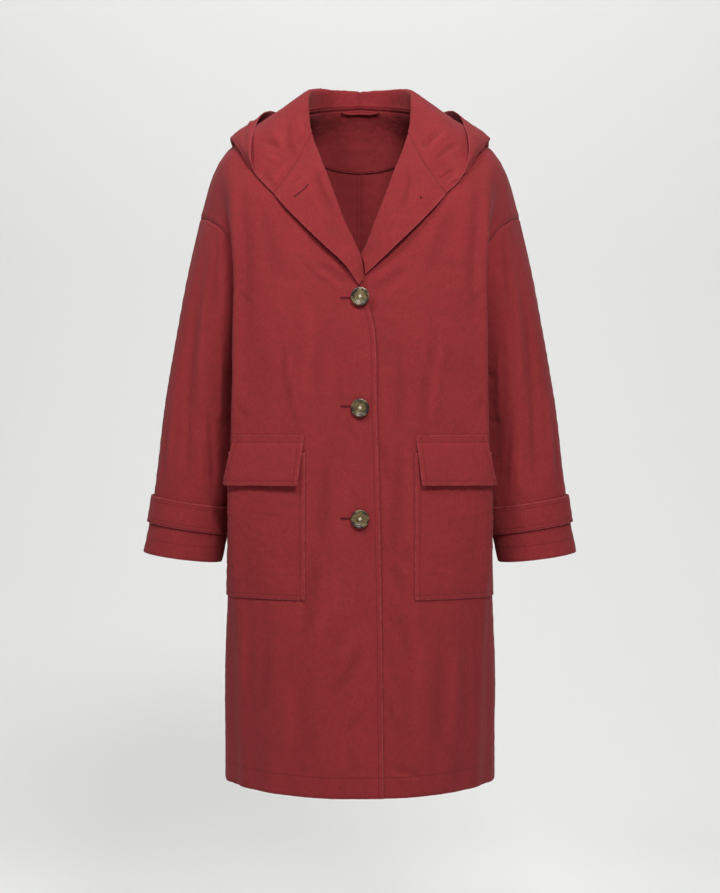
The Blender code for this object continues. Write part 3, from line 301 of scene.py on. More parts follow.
# ---------------------------------------------------------------- the creases, in millimetres
# A crease runs from one place on a piece to another, in a slight bow. width is its half width and
# height is over nought for a ridge and under it for a trough. The ones under BOTH are the same on
# either side of the coat.
Crease = namedtuple("Crease", "course column to_course to_column width height bow", defaults=(0,))
CREASES = {
    "front": {
        RIGHT: (
            # over the chest, from the lapel and the armhole
            (8.2, 1.8, 9.2, 0.3, 7, -2.6), (8.4, 2, 9.4, 0.8, 6, 2), (8.2, 2.3, 9.2, 1.5, 6, -1.4),
            (6, 4, 9.3, 3.2, 15, -2.4, 0.2), (9.3, 6.5, 10, 5, 6, -1.6), (9.8, 2.8, 13.3, 3, 12, 1.5),
            # above the pocket, from the first button down
            (10.7, 3.8, 13.7, 3.2, 6, -2.6, 0.1), (10.9, 3.7, 13.6, 3, 6, 1.8, 0.1),
            (12.4, 3.8, 13.6, 3.5, 5, -1.5, 0.1), (11.1, 2.5, 12.6, 2.7, 9, -1.6),
            (12.1, 1.8, 12.8, 1.7, 8, -1.4), (12.9, 6.2, 13.2, 5, 6, -1.4), (13.3, 1.5, 13.9, 0.8, 7, -1.2),
            # beside the pocket
            (14, 2.3, 16.9, 2.5, 9, -2.2), (16.8, 2.5, 19.1, 3, 10, -3, 0.1), (15.8, 3, 19, 3.2, 8, 1.6),
            (16.9, 2, 18.4, 1.8, 10, 1.5),
            # down the skirt and along the hem
            (17.9, 2.2, 19.2, 2.7, 7, 1.6), (18.9, 0.7, 20.5, 2.3, 7, -2.6, -0.2),
            (18.6, 1, 19.6, 1.8, 8, 1.4), (20.6, 0.5, 21.4, 1.7, 6, -1.6),
            (22.4, 3.3, 22.2, 2.7, 4, -1.4, 0.1), (21.9, 3.2, 22.2, 2.7, 4, 1.2),
            (18.2, 4.2, 21.1, 4.7, 13, -1.6), (20, 3.5, 22.3, 3.7, 13, 2), (18, 5.5, 20.7, 6.5, 12, 1.6),
            (21.5, 1.3, 22.5, 1.2, 9, -1.2),
        ),
        LEFT: (
            # over the chest, from the lapel and the armhole
            (8.4, 2, 9.4, 0.7, 7, -2.6), (9.1, 1.8, 9.8, 1.3, 6, 1.7), (6, 3.7, 9.1, 3, 13, -2.4, -0.1),
            (8.2, 3.2, 8.5, 4.7, 8, -1.3), (9.3, 7, 9.9, 5.2, 6, -1.6),
            # above the pocket, from the first button down
            (10.6, 3.8, 13.7, 3.2, 6, -2.8, -0.1), (11.1, 4, 13.6, 3.5, 6, 2, -0.1),
            (10.9, 2.5, 13.8, 2.5, 8, -2.2), (11.1, 2.2, 12.1, 2, 8, -1.4), (12.7, 6.3, 13.1, 5.3, 6, -1.5),
            # beside the pocket
            (13.8, 2.5, 16.9, 2.3, 8, -2.6), (13.5, 2.8, 16.9, 2.8, 7, 1.8),
            (13.8, 1.8, 15.1, 2.2, 9, -1.8), (16.8, 2.2, 17.9, 2.7, 8, -2.4),
            # down the skirt and along the hem
            (18.1, 2, 18.9, 2.5, 4, -1.4), (17.9, 2.2, 19.5, 2.8, 5, -1.6, 0.1),
            (19.1, 2, 20.3, 2.5, 6, -1.6), (20.3, 2, 21.6, 2.5, 6, -1.6), (17.9, 3, 20.5, 3.2, 9, 1.8),
            (22.2, 2, 22.5, 3.3, 5, -2.2, 0.2), (22.4, 2, 22.6, 3.2, 4, 1.4, 0.2),
            (19.3, 4.5, 21.9, 4.5, 12, 2), (18.5, 3.8, 22.1, 4, 14, -1.8), (18, 5.7, 21.2, 6.5, 12, -1.4),
            (21.7, 4, 22.2, 4.7, 6, -1),
        ),
        BOTH: (
            # towards the side seam, round from the photograph
            (11.6, 10.2, 21.6, 10.6, 13, -2.4, 0.2), (11.9, 11.4, 15, 10.4, 8, 1.8, 0.2),
            (14, 9.2, 22.4, 9.6, 12, 1.8, 0.2),
        ),
    },
    "back": {
        RIGHT: (
            # down the skirt
            (16.4, 3.4, 18.6, 6.4, 7, -1.6, 0.2),
            # along the hem
            (22.4, 10.6, 22.1, 14, 5, -1.3, -0.1),
        ),
        LEFT: (
            # down the skirt
            (15.2, 9.8, 17, 13.2, 7, -1.6, 0.3),
            # along the hem
            (22.1, 8.6, 22.4, 12, 5, -1.3, 0.1),
        ),
        BOTH: (
            # from the neck over the shoulder blades
            (3, 5, 9.6, 4.2, 15, -2.6, 0.3), (4.6, 8.6, 11.6, 7.4, 14, 2.2, 0.3),
            (3.4, 12.6, 9.8, 11, 12, -2.6, 0.4),
            # drags towards the underarm
            (6.6, 16.6, 10.8, 13, 9, -2.4, 0.5), (8.2, 17.6, 11.6, 14.4, 8, 2, 0.4),
            (9.8, 18.2, 13, 15.8, 7, -2, 0.3),
            # down the skirt
            (12, 1.6, 22, 2.2, 16, -2.6, 0.3), (11.4, 4.6, 21.6, 5.2, 14, 2.6, -0.3),
            (12.4, 7.6, 22.6, 8.2, 16, -3.2, 0.3), (13.6, 11.4, 22.2, 11.2, 15, 2.6, -0.2),
            (13, 14.6, 22.6, 14.8, 14, -2.8, 0.2), (15.8, 17.6, 22, 17.2, 12, 2.2, 0.2),
            # along the hem
            (22.3, 2.2, 22.1, 5, 5, -1.4, 0.1),
        ),
    },
    "sleeve_front": {
        RIGHT: (
            # down the upper arm
            (0.3, 4.6, 3.1, 5.6, 9, -2.6), (2.7, 3.2, 6.8, 4.2, 8, -2.6), (2, 4.2, 6.1, 5.2, 8, 2.2),
            (2.9, 6.4, 6.4, 7.2, 8, 2.2),
            # down the forearm
            (6, 4.2, 9.7, 5.2, 6, -2.4), (5.6, 2.6, 9.4, 3, 7, 2), (5.4, 5.8, 9.8, 7.6, 7, -2.4),
            (6.9, 5.4, 9.7, 6.4, 6, 1.6), (7.2, 2, 9.8, 2.4, 6, -1.8), (6.6, 8, 9.6, 8.6, 6, -1.6),
        ),
        LEFT: (
            # down the upper arm
            (0.3, 4.6, 3.2, 5.4, 9, -2.6), (2.8, 3, 7.2, 4.2, 8, -2.6), (2, 4, 5.7, 5, 8, 2.2),
            (2.9, 6.4, 6.4, 7.2, 8, 2.2),
            # down the forearm
            (6, 4, 9.7, 5, 6, -2.4), (5.7, 2.2, 9.4, 3, 7, 2), (5.4, 5.8, 9.8, 7.6, 7, -2.4),
            (6.9, 5.4, 9.7, 6.4, 6, 1.6), (7.2, 1.8, 9.8, 2.2, 6, -1.8),
        ),
        BOTH: (
            # from the underarm
            (2.2, 9.4, 4.4, 6.8, 7, -2, 0.4), (3.4, 10, 5.4, 7.6, 6, 1.6, 0.3),
            (4.9, 9.6, 6.3, 6.2, 6, -1.8, 0.3),
        ),
    },
    "sleeve_back": {
        BOTH: (
            # down the upper arm
            (0.6, 2.6, 7.2, 2.2, 9, -2.6, -0.2), (0.9, 4.4, 9, 4, 9, 2.4, 0.2),
            (1.2, 6.4, 8, 6, 9, -2.8, -0.2),
            # across the elbow
            (4.2, 8.6, 5.8, 4.6, 7, -2.2, 0.4), (4.9, 9, 6.6, 5.4, 7, 1.8, 0.4),
            (5.7, 8.8, 7.3, 6, 6, -1.8, 0.3),
            # down the forearm
            (6.6, 1.6, 9.6, 2.6, 7, -2, 0.2), (6.9, 4.6, 9.7, 4.9, 6, 1.6, 0.1),
            (6.2, 7.4, 9.6, 7, 7, -1.8, 0.2),
        ),
    },
    "hood": {
        RIGHT: (
            # over the shoulder and along the rim
            (9.4, 3, 11, 4, 4, 2), (9.6, 2.5, 10.7, 2.8, 4, -1.4), (10, 5.7, 11, 12.2, 4, 1.4),
            (10.8, 13.2, 3.7, 13.2, 4, 1.5), (10.6, 12.5, 10.7, 4.3, 4, -1.2),
            (9.3, 4.7, 10.2, 4.2, 6, 1.6), (9.8, 5.5, 10.5, 5.3, 5, -1.3), (9.2, 3.7, 10.3, 4.2, 6, -1.6),
        ),
        LEFT: (
            # over the shoulder and along the rim
            (10.7, 3.8, 9.3, 4, 3.5, -1.8), (10.8, 3.3, 9.5, 3.7, 4, 1.6), (10.6, 4.7, 9.4, 4.8, 4, 1.8),
            (3.9, 12.8, 10.1, 5.3, 4.5, 1.7), (4, 12.5, 9.8, 6, 4, -1.4), (10.8, 7.8, 10.1, 6.7, 3.5, 1.8),
            (9.8, 2.5, 3.8, 13.2, 5, 2.2), (10.1, 2, 3.4, 13.7, 4, -1.4),
            (10.9, 13.2, 10.1, 7.8, 3.5, -1.2),
        ),
        BOTH: (
            # across the bag, behind the shoulders
            (6.6, 9.6, 5.8, 13, 8, 2, 0.3), (5.4, 9.8, 4.6, 13.2, 9, -2.2, 0.3),
            (4, 9.6, 3.2, 13, 10, 2.6, 0.3), (2.4, 9.8, 1.8, 13.2, 10, -2.4, 0.3),
            (1.2, 4.6, 1, 8.6, 9, 2, 0.2), (3.2, 4.8, 2.9, 8.4, 9, -2, 0.2),
        ),
    },
    "lapel": {
        RIGHT: (
            # along the lapel and beside its buttonhole
            (12.4, 3, 14.5, 3.3, 6, 1.3), (12.1, 4, 14.4, 5.2, 6, -0.9), (11.6, 8.5, 11.9, 4.3, 3, 0.9),
        ),
        LEFT: (
            # along the lapel and its gorge seam
            (12.1, 3, 14.1, 5.3, 6, 1.2), (11.2, 8, 11, 13.7, 3, 0.9),
        ),
    },
}
LEAST_CREASE = 5.0  # the least half width, which the net is fine enough to hold
# How many times its height each crease of a piece is pressed in.
CREASE_DEPTH = {
    "front": 1.6, "back": 1.6, "sleeve_front": 1.1, "sleeve_back": 1.2, "hood": 2.9, "lapel": 2.6}
# The edges of each piece that its creases leave still, and how far in from them they grow, in metres.
STILL = {
    "front": (("top", "first", "last"), 0.014),
    "back": (("top", "first", "last"), 0.014),
    "sleeve_front": (("top", "first", "last"), 0.013),
    "sleeve_back": (("top", "first", "last"), 0.013),
    "hood": (("top", "first", "bottom"), 0.008),
    "lapel": (("top", "first", "last", "bottom"), 0.008),
}
SLOW_HEIGHT, QUICK_HEIGHT = 0.00024, 0.00016  # the height of the cloth's unevenness

# Rows of stitching: the edge, how far in from it, and the courses or columns between which it runs.
Row = namedtuple("Row", "edge inset start stop")
HEM_DEPTH, SLEEVE_HEM_DEPTH = 0.029, 0.021
ALL = (0.0, 99.0)
PANEL_STITCHES = {
    "front": (
        Row("first", 0.0060, BREAK_ROW + 0.2, BODY_ROWS),
        Row("last", 0.0062, 0.0, YOKE_ROWS),
        Row("bottom", HEM_DEPTH, *ALL),
    ),
    "back": (
        Row("first", 0.0042, *ALL),
        Row("last", 0.0062, 0.0, YOKE_ROWS),
        Row("bottom", HEM_DEPTH, *ALL),
    ),
    "sleeve_front": (Row("bottom", SLEEVE_HEM_DEPTH, *ALL),),
    "sleeve_back": (Row("first", 0.0055, *ALL), Row("bottom", SLEEVE_HEM_DEPTH, *ALL)),
}
EVERY_EDGE = ("top", "bottom", "first", "last")
# The edges of each panel that rub pale: all but the seams that are turned under a neighbour.
PANEL_EDGES = {
    "front": ("first", "last", "bottom"),
    "back": ("last", "bottom"),
    "sleeve_front": EVERY_EDGE,
    "sleeve_back": EVERY_EDGE,
}
POCKET_STITCHES = tuple(Row(edge, EDGE_STITCH, *ALL) for edge in ("first", "last", "bottom"))
FLAP_STITCHES = (Row("top", 0.0012, *ALL), Row("top", 0.0088, *ALL), *POCKET_STITCHES)
STRAP_STITCHES = tuple(
    Row(edge, inset, *ALL) for edge in ("top", "bottom") for inset in (0.0018, EDGE_STITCH))
FACING_STITCHES = (Row("bottom", 0.0025, *ALL),)
# The layers in which a material reads how far off each row of stitching is, by the way the row runs.
ROW_LAYERS = {"down": ("down_1", "down_2"), "across": ("across_1", "across_2", "across_3", "across_4")}

# ---------------------------------------------------------------- the buttons and their holes
BUTTON_THICKNESS = 0.0042
# How far each step of a face lies in from the one before, and how far it is raised or sunk.
BUTTON_FACE = ((0.0028, 0.0), (0.0016, -0.0011), (0.0030, -0.0003))
BUTTON_BACK = ((0.0022, -0.0008),)
BUTTON_ROLL = 0.0010  # radius of its rolled edges
THREAD_LEVEL = 0.0031  # where the threads cross, over the button's back
STRAND_RADIUS, STRAND_APART, STEM_RADIUS = 0.00036, 0.000385, 0.0015
HOLE_HALF, LAPEL_HOLE_HALF = 0.0009, 0.0005  # half the width of a buttonhole
HOLE_RISE = 0.0004  # how far its purl lies off the cloth
PURL, PURL_SWELL, PURLS = 0.00066, 0.00016, 46  # radius of the purl, its swelling, and how many

# ---------------------------------------------------------------- the studio
FLOOR_LEVEL = -1.45
PAPER_BEND = 1.4  # radius of the curve between floor and wall
PAPER_FRONT, PAPER_FOOT = -6.0, 1.6  # where the flat floor begins and ends
PAPER_TOP, PAPER_SIDE = 5.0, 7.0  # how high the wall goes, and half the paper's width
BACKDROP = "ECECEA"
# Each light: its place, what it is aimed at, its width and height, and its power in watts.
LIGHTS = {
    "key": ((-1.15, -1.55, 1.55), (0, 0, -0.30), (0.6, 0.4), 29),
    "front": ((0.40, -1.95, 1.15), (0, 0, -0.1), (0.6, 0.4), 48),
    "fill_right": ((3.0, -1.2, 0.4), (0, 0, -0.5), (1.0, 2.0), 6),
    "paper_wash": ((0.0, 1.2, 2.4), (0, 2.7, -0.6), (4.5, 1.0), 49),
    "floor_wash": ((0.6, 0.8, -0.9), (0.6, 2.6, -1.3), (3.5, 0.3), 4),
}
ROOM_TINT, ROOM_LIGHT = (0.94, 0.96, 1.0, 1.0), 0.235  # a slightly blue light from all around
PHOTO_HEIGHT = 893
FOCAL_PIXELS = 2028.0  # the lens, in pixels of the photograph
SENSOR_HEIGHT = 24.0  # millimetres
CAMERA, AIM = (0.0, -3.0, -0.40), (0.0, 0.0, -0.50)


# ---------------------------------------------------------------- what the sidebar offers
def from_hex(code):
    """An sRGB hex colour as the linear values that a shader takes."""
    parts = [int(code[i : i + 2], 16) / 255 for i in (0, 2, 4)]
    return tuple(p / 12.92 if p <= 0.04045 else ((p + 0.055) / 1.055) ** 2.4 for p in parts)


class CoatSizes(bpy.types.PropertyGroup):
    """Sizes that a user may change."""

    wall: bpy.props.FloatProperty(
        name="Cloth", description="Thickness of the cloth with its turnings", default=0.0018,
        min=0.0010, max=0.0030, precision=4, unit="LENGTH")
    crease: bpy.props.FloatProperty(
        name="Creases", description="Depth of the creases, 1 being as worn", default=1.0, min=0.0, max=2.0)
    stitch: bpy.props.FloatProperty(
        name="Stitch", description="Length of one topstitch and its gap", default=0.0034,
        min=0.0020, max=0.0060, precision=4, unit="LENGTH")
    shank: bpy.props.FloatProperty(
        name="Shank", description="Length of thread between a button and the cloth", default=0.0010,
        min=0.0, max=0.0040, precision=4, unit="LENGTH")


class CoatColours(bpy.types.PropertyGroup):
    """Colours that a user may change."""

    # gap: painted shade, the colour laid along the groove of a row of stitching
    gap: bpy.props.FloatVectorProperty(
        name="Groove", description="Bottom of a row of stitching", subtype="COLOR",
        default=from_hex("3E0B0F"), min=0.0, max=1.0)
    cloth: bpy.props.FloatVectorProperty(
        name="Cloth", description="Dyed cotton", subtype="COLOR",
        default=from_hex("83272A"), min=0.0, max=1.0)
    worn: bpy.props.FloatVectorProperty(
        name="Worn edge", description="Dye rubbed off along seams and edges", subtype="COLOR",
        default=from_hex("9A4147"), min=0.0, max=1.0)
    thread: bpy.props.FloatVectorProperty(
        name="Thread", description="Topstitching", subtype="COLOR",
        default=from_hex("6E1D22"), min=0.0, max=1.0)
    hole: bpy.props.FloatVectorProperty(
        name="Buttonhole", description="Thread of the buttonholes", subtype="COLOR",
        default=from_hex("63131A"), min=0.0, max=1.0)
    horn: bpy.props.FloatVectorProperty(
        name="Horn", description="Body of the buttons", subtype="COLOR",
        default=from_hex("6B5833"), min=0.0, max=1.0)


# ---------------------------------------------------------------- curves and nets
def spline(knots, values, at):
    """Values at the places given, on a smooth curve through values at the knots."""
    knots = np.asarray(knots, float)
    values = np.asarray(values, float)
    at = np.asarray(at, float)
    steps = np.diff(knots)
    secants = np.diff(values, axis=0) / steps.reshape(-1, *[1] * (values.ndim - 1))
    slopes = np.empty_like(values)
    slopes[0], slopes[-1] = secants[0], secants[-1]
    for i in range(1, len(knots) - 1):
        before, after = steps[i - 1], steps[i]
        slopes[i] = (after * secants[i - 1] + before * secants[i]) / (before + after)
    i = np.clip(np.searchsorted(knots, at, side="right") - 1, 0, len(knots) - 2)
    h = steps[i]
    t = (at - knots[i]) / h
    shape = (-1, *[1] * (values.ndim - 1))
    t, h = t.reshape(shape), h.reshape(shape)
    return (
        (2 * t**3 - 3 * t**2 + 1) * values[i]
        + (t**3 - 2 * t**2 + t) * h * slopes[i]
        + (3 * t**2 - 2 * t**3) * values[i + 1]
        + (t**3 - t**2) * h * slopes[i + 1]
    )


def courses_of(table, names, at, key="row"):
    """The named columns of a table at the courses asked for, in metres."""
    rows = [getattr(section, key) for section in table]
    named = [[getattr(section, name) for name in names] for section in table]
    return spline(rows, named, at) * MM


def across(courses, stops, at):
    """A net, rows by columns by 3, from the named columns and the column number of each."""
    return spline(stops, courses.transpose(1, 0, 2), at).transpose(1, 0, 2)


def steps_to(last, each, first=0.0):
    """Evenly spaced places, each being how many there are to one course or column."""
    return np.linspace(first, last, round((last - first) * each) + 1)


def unit(vectors):
    return vectors / np.maximum(np.linalg.norm(vectors, axis=-1, keepdims=True), 1e-12)


def smooth_step(x):
    x = np.clip(x, 0.0, 1.0)
    return x * x * (3 - 2 * x)


def bell(x):
    return np.exp(-(x**2))


def grid_normals(net, sign):
    return sign * unit(np.cross(np.gradient(net, axis=0), np.gradient(net, axis=1)))


def with_folds(net, sign, folds, still_columns, rows, columns):
    """The net with its drape folds pressed in. The columns named as still are seams."""
    rows, columns = np.meshgrid(rows, columns, indexing="ij")
    height = np.zeros(net.shape[:2])
    for fold in folds:
        share = np.clip((rows - fold.first) / (fold.last - fold.first), 0.0, 1.0)
        place = fold.top + (fold.bottom - fold.top) * share
        swell = np.sin(math.pi * share)
        height += fold.height * MM * swell * bell((columns - place) / fold.half)
    for still in still_columns:
        height *= smooth_step(np.abs(columns - still) / 2.0)
    height *= smooth_step(rows / 2.0)
    return net + grid_normals(net, sign) * height[..., None]


class Cut:
    """One cut piece of cloth: its net, drawn for the left side, and the courses and columns of it."""

    def __init__(self, net, courses, columns, sign):
        self.net = net
        self.courses = np.asarray(courses, float)
        self.columns = np.asarray(columns, float)
        self.sign = sign
        self.seen = 1  # -1 where the cloth's wrong side is the one that shows
        self.faced = None  # the normals shared with what it is sewn to, where they aren't its own
        self.free = 1.0  # 0 along its edges that are sewn to another piece
        self.relief = 0.0  # how far its creases stand up, in millimetres, from which the material paints shade and light
        self.measure()

    def measure(self):
        """How far down and along the cloth each point lies, in metres."""
        down = np.linalg.norm(np.diff(self.net, axis=0), axis=2)
        along = np.linalg.norm(np.diff(self.net, axis=1), axis=2)
        self.down = np.vstack([np.zeros((1, down.shape[1])), np.cumsum(down, axis=0)])
        self.along = np.hstack([np.zeros((along.shape[0], 1)), np.cumsum(along, axis=1)])

    def inset(self, edge):
        """Metres from one of the piece's four edges."""
        return {
            "top": self.down,
            "bottom": self.down[-1:] - self.down,
            "first": self.along,
            "last": self.along[:, -1:] - self.along,
        }[edge]

    def run(self, edge):
        """Metres along one of the piece's four edges, and the courses or columns there."""
        if edge in ("first", "last"):
            return self.down, self.courses[:, None]
        return self.along, self.columns[None, :]

    def normals(self):
        return grid_normals(self.net, self.sign)

    def lift(self, height):
        self.net = self.net + self.normals() * height[..., None]

    def at(self, courses, columns):
        """Points and normals at arrays of courses and columns."""
        courses, columns = np.broadcast_arrays(np.asarray(courses, float), np.asarray(columns, float))
        row = np.interp(courses, self.courses, np.arange(len(self.courses)))
        col = np.interp(columns, self.columns, np.arange(len(self.columns)))
        i = np.minimum(row.astype(int), len(self.courses) - 2)
        j = np.minimum(col.astype(int), len(self.columns) - 2)
        s, t = (row - i)[..., None], (col - j)[..., None]
        found = []
        for grid in (self.net, self.normals()):
            found.append(
                grid[i, j] * (1 - s) * (1 - t) + grid[i, j + 1] * (1 - s) * t
                + grid[i + 1, j] * s * (1 - t) + grid[i + 1, j + 1] * s * t
            )
        return found[0], unit(found[1])


# ---------------------------------------------------------------- creases
def crease_height(cut, crease, samples=11):
    """The height of one crease at every point of a piece."""
    share = np.linspace(0.0, 1.0, samples)
    bow = crease.bow * np.sin(math.pi * share)
    course = crease.course + (crease.to_course - crease.course) * share
    column = crease.column + (crease.to_column - crease.column) * share + bow
    line, _ = cut.at(course, column)
    near = np.full(cut.net.shape[:2], np.inf)
    place = np.zeros(cut.net.shape[:2])
    for i in range(samples - 1):
        start, way = line[i], line[i + 1] - line[i]
        t = np.clip(((cut.net - start) @ way) / max(way @ way, 1e-12), 0.0, 1.0)
        gap = np.linalg.norm(cut.net - start - t[..., None] * way, axis=2)
        closer = gap < near
        near[closer] = gap[closer]
        place[closer] = (i + t[closer]) / (samples - 1)
    # sharp on top, with a shallow hollow to either side, wider towards its end, and dying away at both
    width = max(crease.width, LEAST_CREASE) * MM * (0.60 + 0.45 * place)
    ends = smooth_step(np.minimum(place, 1 - place) * 3.2 + 0.02)
    shape = (1 + (near / width) ** 2) ** -1.6 - 0.28 * bell(near / (2.6 * width))
    return crease.height * MM * shape * ends


WAVES = np.random.default_rng(7)
# Slow and quick unevenness of washed cotton: directions and phases of a few dozen waves, from their
# scale across the coat, through it and down it, in metres.
SLOW_WAVES = (WAVES.normal(size=(26, 3)) / (0.009, 0.009, 0.045), WAVES.uniform(0, 6.28, 26))
QUICK_WAVES = (WAVES.normal(size=(48, 3)) / (0.0024, 0.0024, 0.0042), WAVES.uniform(0, 6.28, 48))


def unevenness(points, waves):
    """Smooth unevenness in space, about 1 high, which runs on from one piece to the next."""
    ways, phases = waves
    total = np.zeros(points.shape[:-1])
    for way, phase in zip(ways, phases):
        total += np.sin(points @ way + phase)
    return total / math.sqrt(len(phases) / 2)


# ---------------------------------------------------------------- nets of the pieces
def moved_under(net, rows):
    """The under front and its lapel lie behind the over front where the two cross."""
    low = smooth_step((np.asarray(rows, float) - (UNDER_BREAK_ROW - 4)) / 4.0)
    near = 1 - smooth_step(net[..., 0] / UNDER_FADE)
    net[..., 1] += UNDER_SHIFT * near * low[:, None]
    return net


def front_net(side, rows, columns):
    named = courses_of(FRONT, ("edge", "turn", "bulge", "hollow", "side"), rows)
    net = across(named, FRONT_STOPS, columns)
    # Below the break the fronts lie flat on each other, as far to either side of the middle.
    lap = across(named, FRONT_STOPS, [LAP_STOP])[:, 0]
    flat = smooth_step((rows - UNDER_BREAK_ROW) / 3.0)
    lap[:, 0] += (LAP_WIDTH - lap[:, 0]) * flat
    lap[:, 1] += (named[:, 0, 1] + LAP_CURVE - lap[:, 1]) * flat
    stops = (FRONT_STOPS[0], LAP_STOP, *FRONT_STOPS[1:])
    net += (across(np.insert(named, 1, lap, axis=1), stops, columns) - net) * flat[:, None, None]
    net = with_folds(net, 1, FRONT_FOLDS, (0, FRONT_STOPS[-1]), rows, columns)
    return moved_under(net, rows) if side == LEFT else net


def back_net(rows, columns):
    named = courses_of(BACK, ("centre", "nape", "neck", "turn", "bulge", "hollow"), rows)
    armhole = courses_of(BACK_ARMHOLE, ("side",), np.minimum(rows, YOKE_ROWS))
    seam = courses_of(FRONT, ("side",), rows)
    sides = np.where(rows[:, None, None] < YOKE_ROWS, armhole, seam)
    named = np.concatenate([named, sides], axis=1)
    smooth = across(named, BACK_STOPS, columns)
    inner = across(named[:, :3], BACK_STOPS[:3], columns[columns <= NECK_STOP])
    outer = across(named[:, 2:], BACK_STOPS[2:], columns[columns > NECK_STOP])
    cornered = np.concatenate([inner, outer], axis=1)
    # the neck point is a corner, which has gone by the third course
    soft = smooth_step(rows / 3.0)[:, None, None]
    net = cornered + (smooth - cornered) * soft
    return with_folds(net, -1, BACK_FOLDS, (0, BACK_STOPS[-1]), rows, columns)


def rounded_fold(under, fold, swell, bend, along):
    """Five points round the bottom of the hood's bag, or five on the way across a flat stretch."""
    if bend < LEAST_BEND:
        near = [under + (fold - under) * share for share in (0.60, 0.80, 1.0)]
        return near + [fold + (swell - fold) * share for share in (0.34, 0.67)]
    upward = (under + swell) / 2 - fold
    upward = unit(upward - along * (upward @ along))
    inward = np.cross(along, upward)
    inward *= math.copysign(1.0, inward @ (under - swell))
    turns = [math.pi / 2 * step for step in (1.0, 0.5, 0.0, -0.5, -1.0)]
    return [fold + bend * ((1 - math.cos(turn)) * upward + math.sin(turn) * inward) for turn in turns]


def collar_net(side, first, last, each, columns):
    """Hood or lapel: a row for each station asked for. Its first column is the neck seam."""
    whole = np.arange(0, (NECK_STOP + BREAK_ROW if side == RIGHT else UNDER_TIP.number) + 1)
    front = front_net(side, np.arange(0.0, BODY_ROWS + 1), np.arange(0.0, FRONT_STOPS[-1] + 1))
    back = back_net(np.arange(0.0, BODY_ROWS + 1), np.arange(0.0, BACK_STOPS[-1] + 1))
    seam = np.concatenate([back[0, : NECK_STOP + 1], front[1 : BREAK_ROW + 1, 0]])[: len(whole)]
    names = ("ridge", "under", "fold", "swell", "rim")
    named = courses_of(COLLAR, names, whole, "number")
    bends = courses_of(COLLAR, ("bend",), whole, "number")[:, 0]
    bends[GORGE - 1 :] = 0.0
    if side == LEFT:
        named[UNDER_TIP.number] = np.array([getattr(UNDER_TIP, name) for name in names]) * MM
        named = moved_under(named, whole - NECK_STOP)
    runs = np.gradient(named[:, names.index("fold")], axis=0)
    runs[0] = (1.0, 0.0, 0.0)  # the seam at the centre back stays in the middle
    stations = []
    for start, (ridge, under, fold, swell, rim), bend, run in zip(seam, named, bends, runs):
        bottom = rounded_fold(under, fold, swell, bend, unit(run))
        stations.append([start, ridge, under, *bottom, swell, rim])
    at = steps_to(last, each, first)
    fine = spline(whole, np.array(stations), at)
    # the neck seam is exactly the back's and the fronts' own edge
    neck = at <= NECK_STOP
    if neck.any():
        fine[neck, 0] = back_net(np.array([0.0, 1.0]), np.append(at[neck], NECK_STOP + 1.0))[0, :-1]
    fine[~neck, 0] = front_net(side, at[~neck] - NECK_STOP, np.array([0.0, 1.0]))[:, 0]
    cut = Cut(across(fine, COLLAR_STOPS, columns), at, columns, -1)
    cut.seen = -1
    return cut


def sleeve_net(armhole, way, rows):
    """Half a sleeve, a row for each ring. way is -1 for the front half and 1 for the back half."""
    shares = rows / SLEEVE_ROWS
    named = courses_of(SLEEVE, ("outer", "inner"), shares, "share")
    outer, inner = named[:, 0], named[:, 1]
    back, deep = courses_of(SLEEVE, ("back", "deep"), shares, "share").T
    columns = np.linspace(0.0, YOKE_ROWS, len(armhole))
    angle = math.pi * columns / YOKE_ROWS
    to_inner = (1 - np.cos(angle)) / 2
    level = outer[:, None] + (inner - outer)[:, None] * to_inner[None, :, None]
    y = back[:, None] + way * deep[:, None] * np.sin(angle)[None]
    rings = np.stack([level[..., 0], y, level[..., 1]], axis=2)
    still_shaped = (1 - smooth_step(shares / 0.45))[:, None, None]
    net = rings + (armhole - rings[0]) * still_shaped
    return Cut(with_folds(net, way, SLEEVE_FOLDS, (0, YOKE_ROWS), rows, columns), rows, columns, way)


# ---------------------------------------------------------------- the cut pieces of one side
@functools.cache
def coat_cuts(side):
    """The six sewn pieces of one side, creased, and with their seams, keyed by name."""
    rows = steps_to(BODY_ROWS, COURSES_FINE)
    front_columns = steps_to(FRONT_STOPS[-1], COLUMNS_FINE)
    back_columns = steps_to(BACK_STOPS[-1], BACK_FINE)
    collar_columns = steps_to(COLLAR_STOPS[-1], COLUMNS_FINE)
    front = Cut(front_net(side, rows, front_columns), rows, front_columns, 1)
    back = Cut(back_net(rows, back_columns), rows, back_columns, -1)
    yoke = rows <= YOKE_ROWS
    at = steps_to(YOKE_ROWS, COURSES_FINE / 2)
    ring_rows = steps_to(SLEEVE_ROWS, COURSES_FINE)
    armholes = [
        np.stack([np.interp(at, rows[yoke], cut.net[yoke, -1, axis]) for axis in range(3)], axis=1)
        for cut in (front, back)
    ]
    last = BREAK_ROW if side == RIGHT else UNDER_BREAK_ROW
    cuts = {
        "front": front,
        "back": back,
        "sleeve_front": sleeve_net(armholes[0], -1, ring_rows),
        "sleeve_back": sleeve_net(armholes[1], 1, ring_rows),
        "hood": collar_net(side, 0, GORGE, HOOD_FINE, collar_columns),
        "lapel": collar_net(side, GORGE, NECK_STOP + last, LAPEL_FINE, collar_columns),
    }
    plain = front.net.copy()
    for name, cut in cuts.items():
        crease_piece(name, cut, side)
    limit_lap(front, plain, side)
    sew_seams(cuts)
    share_normals(cuts)
    return cuts


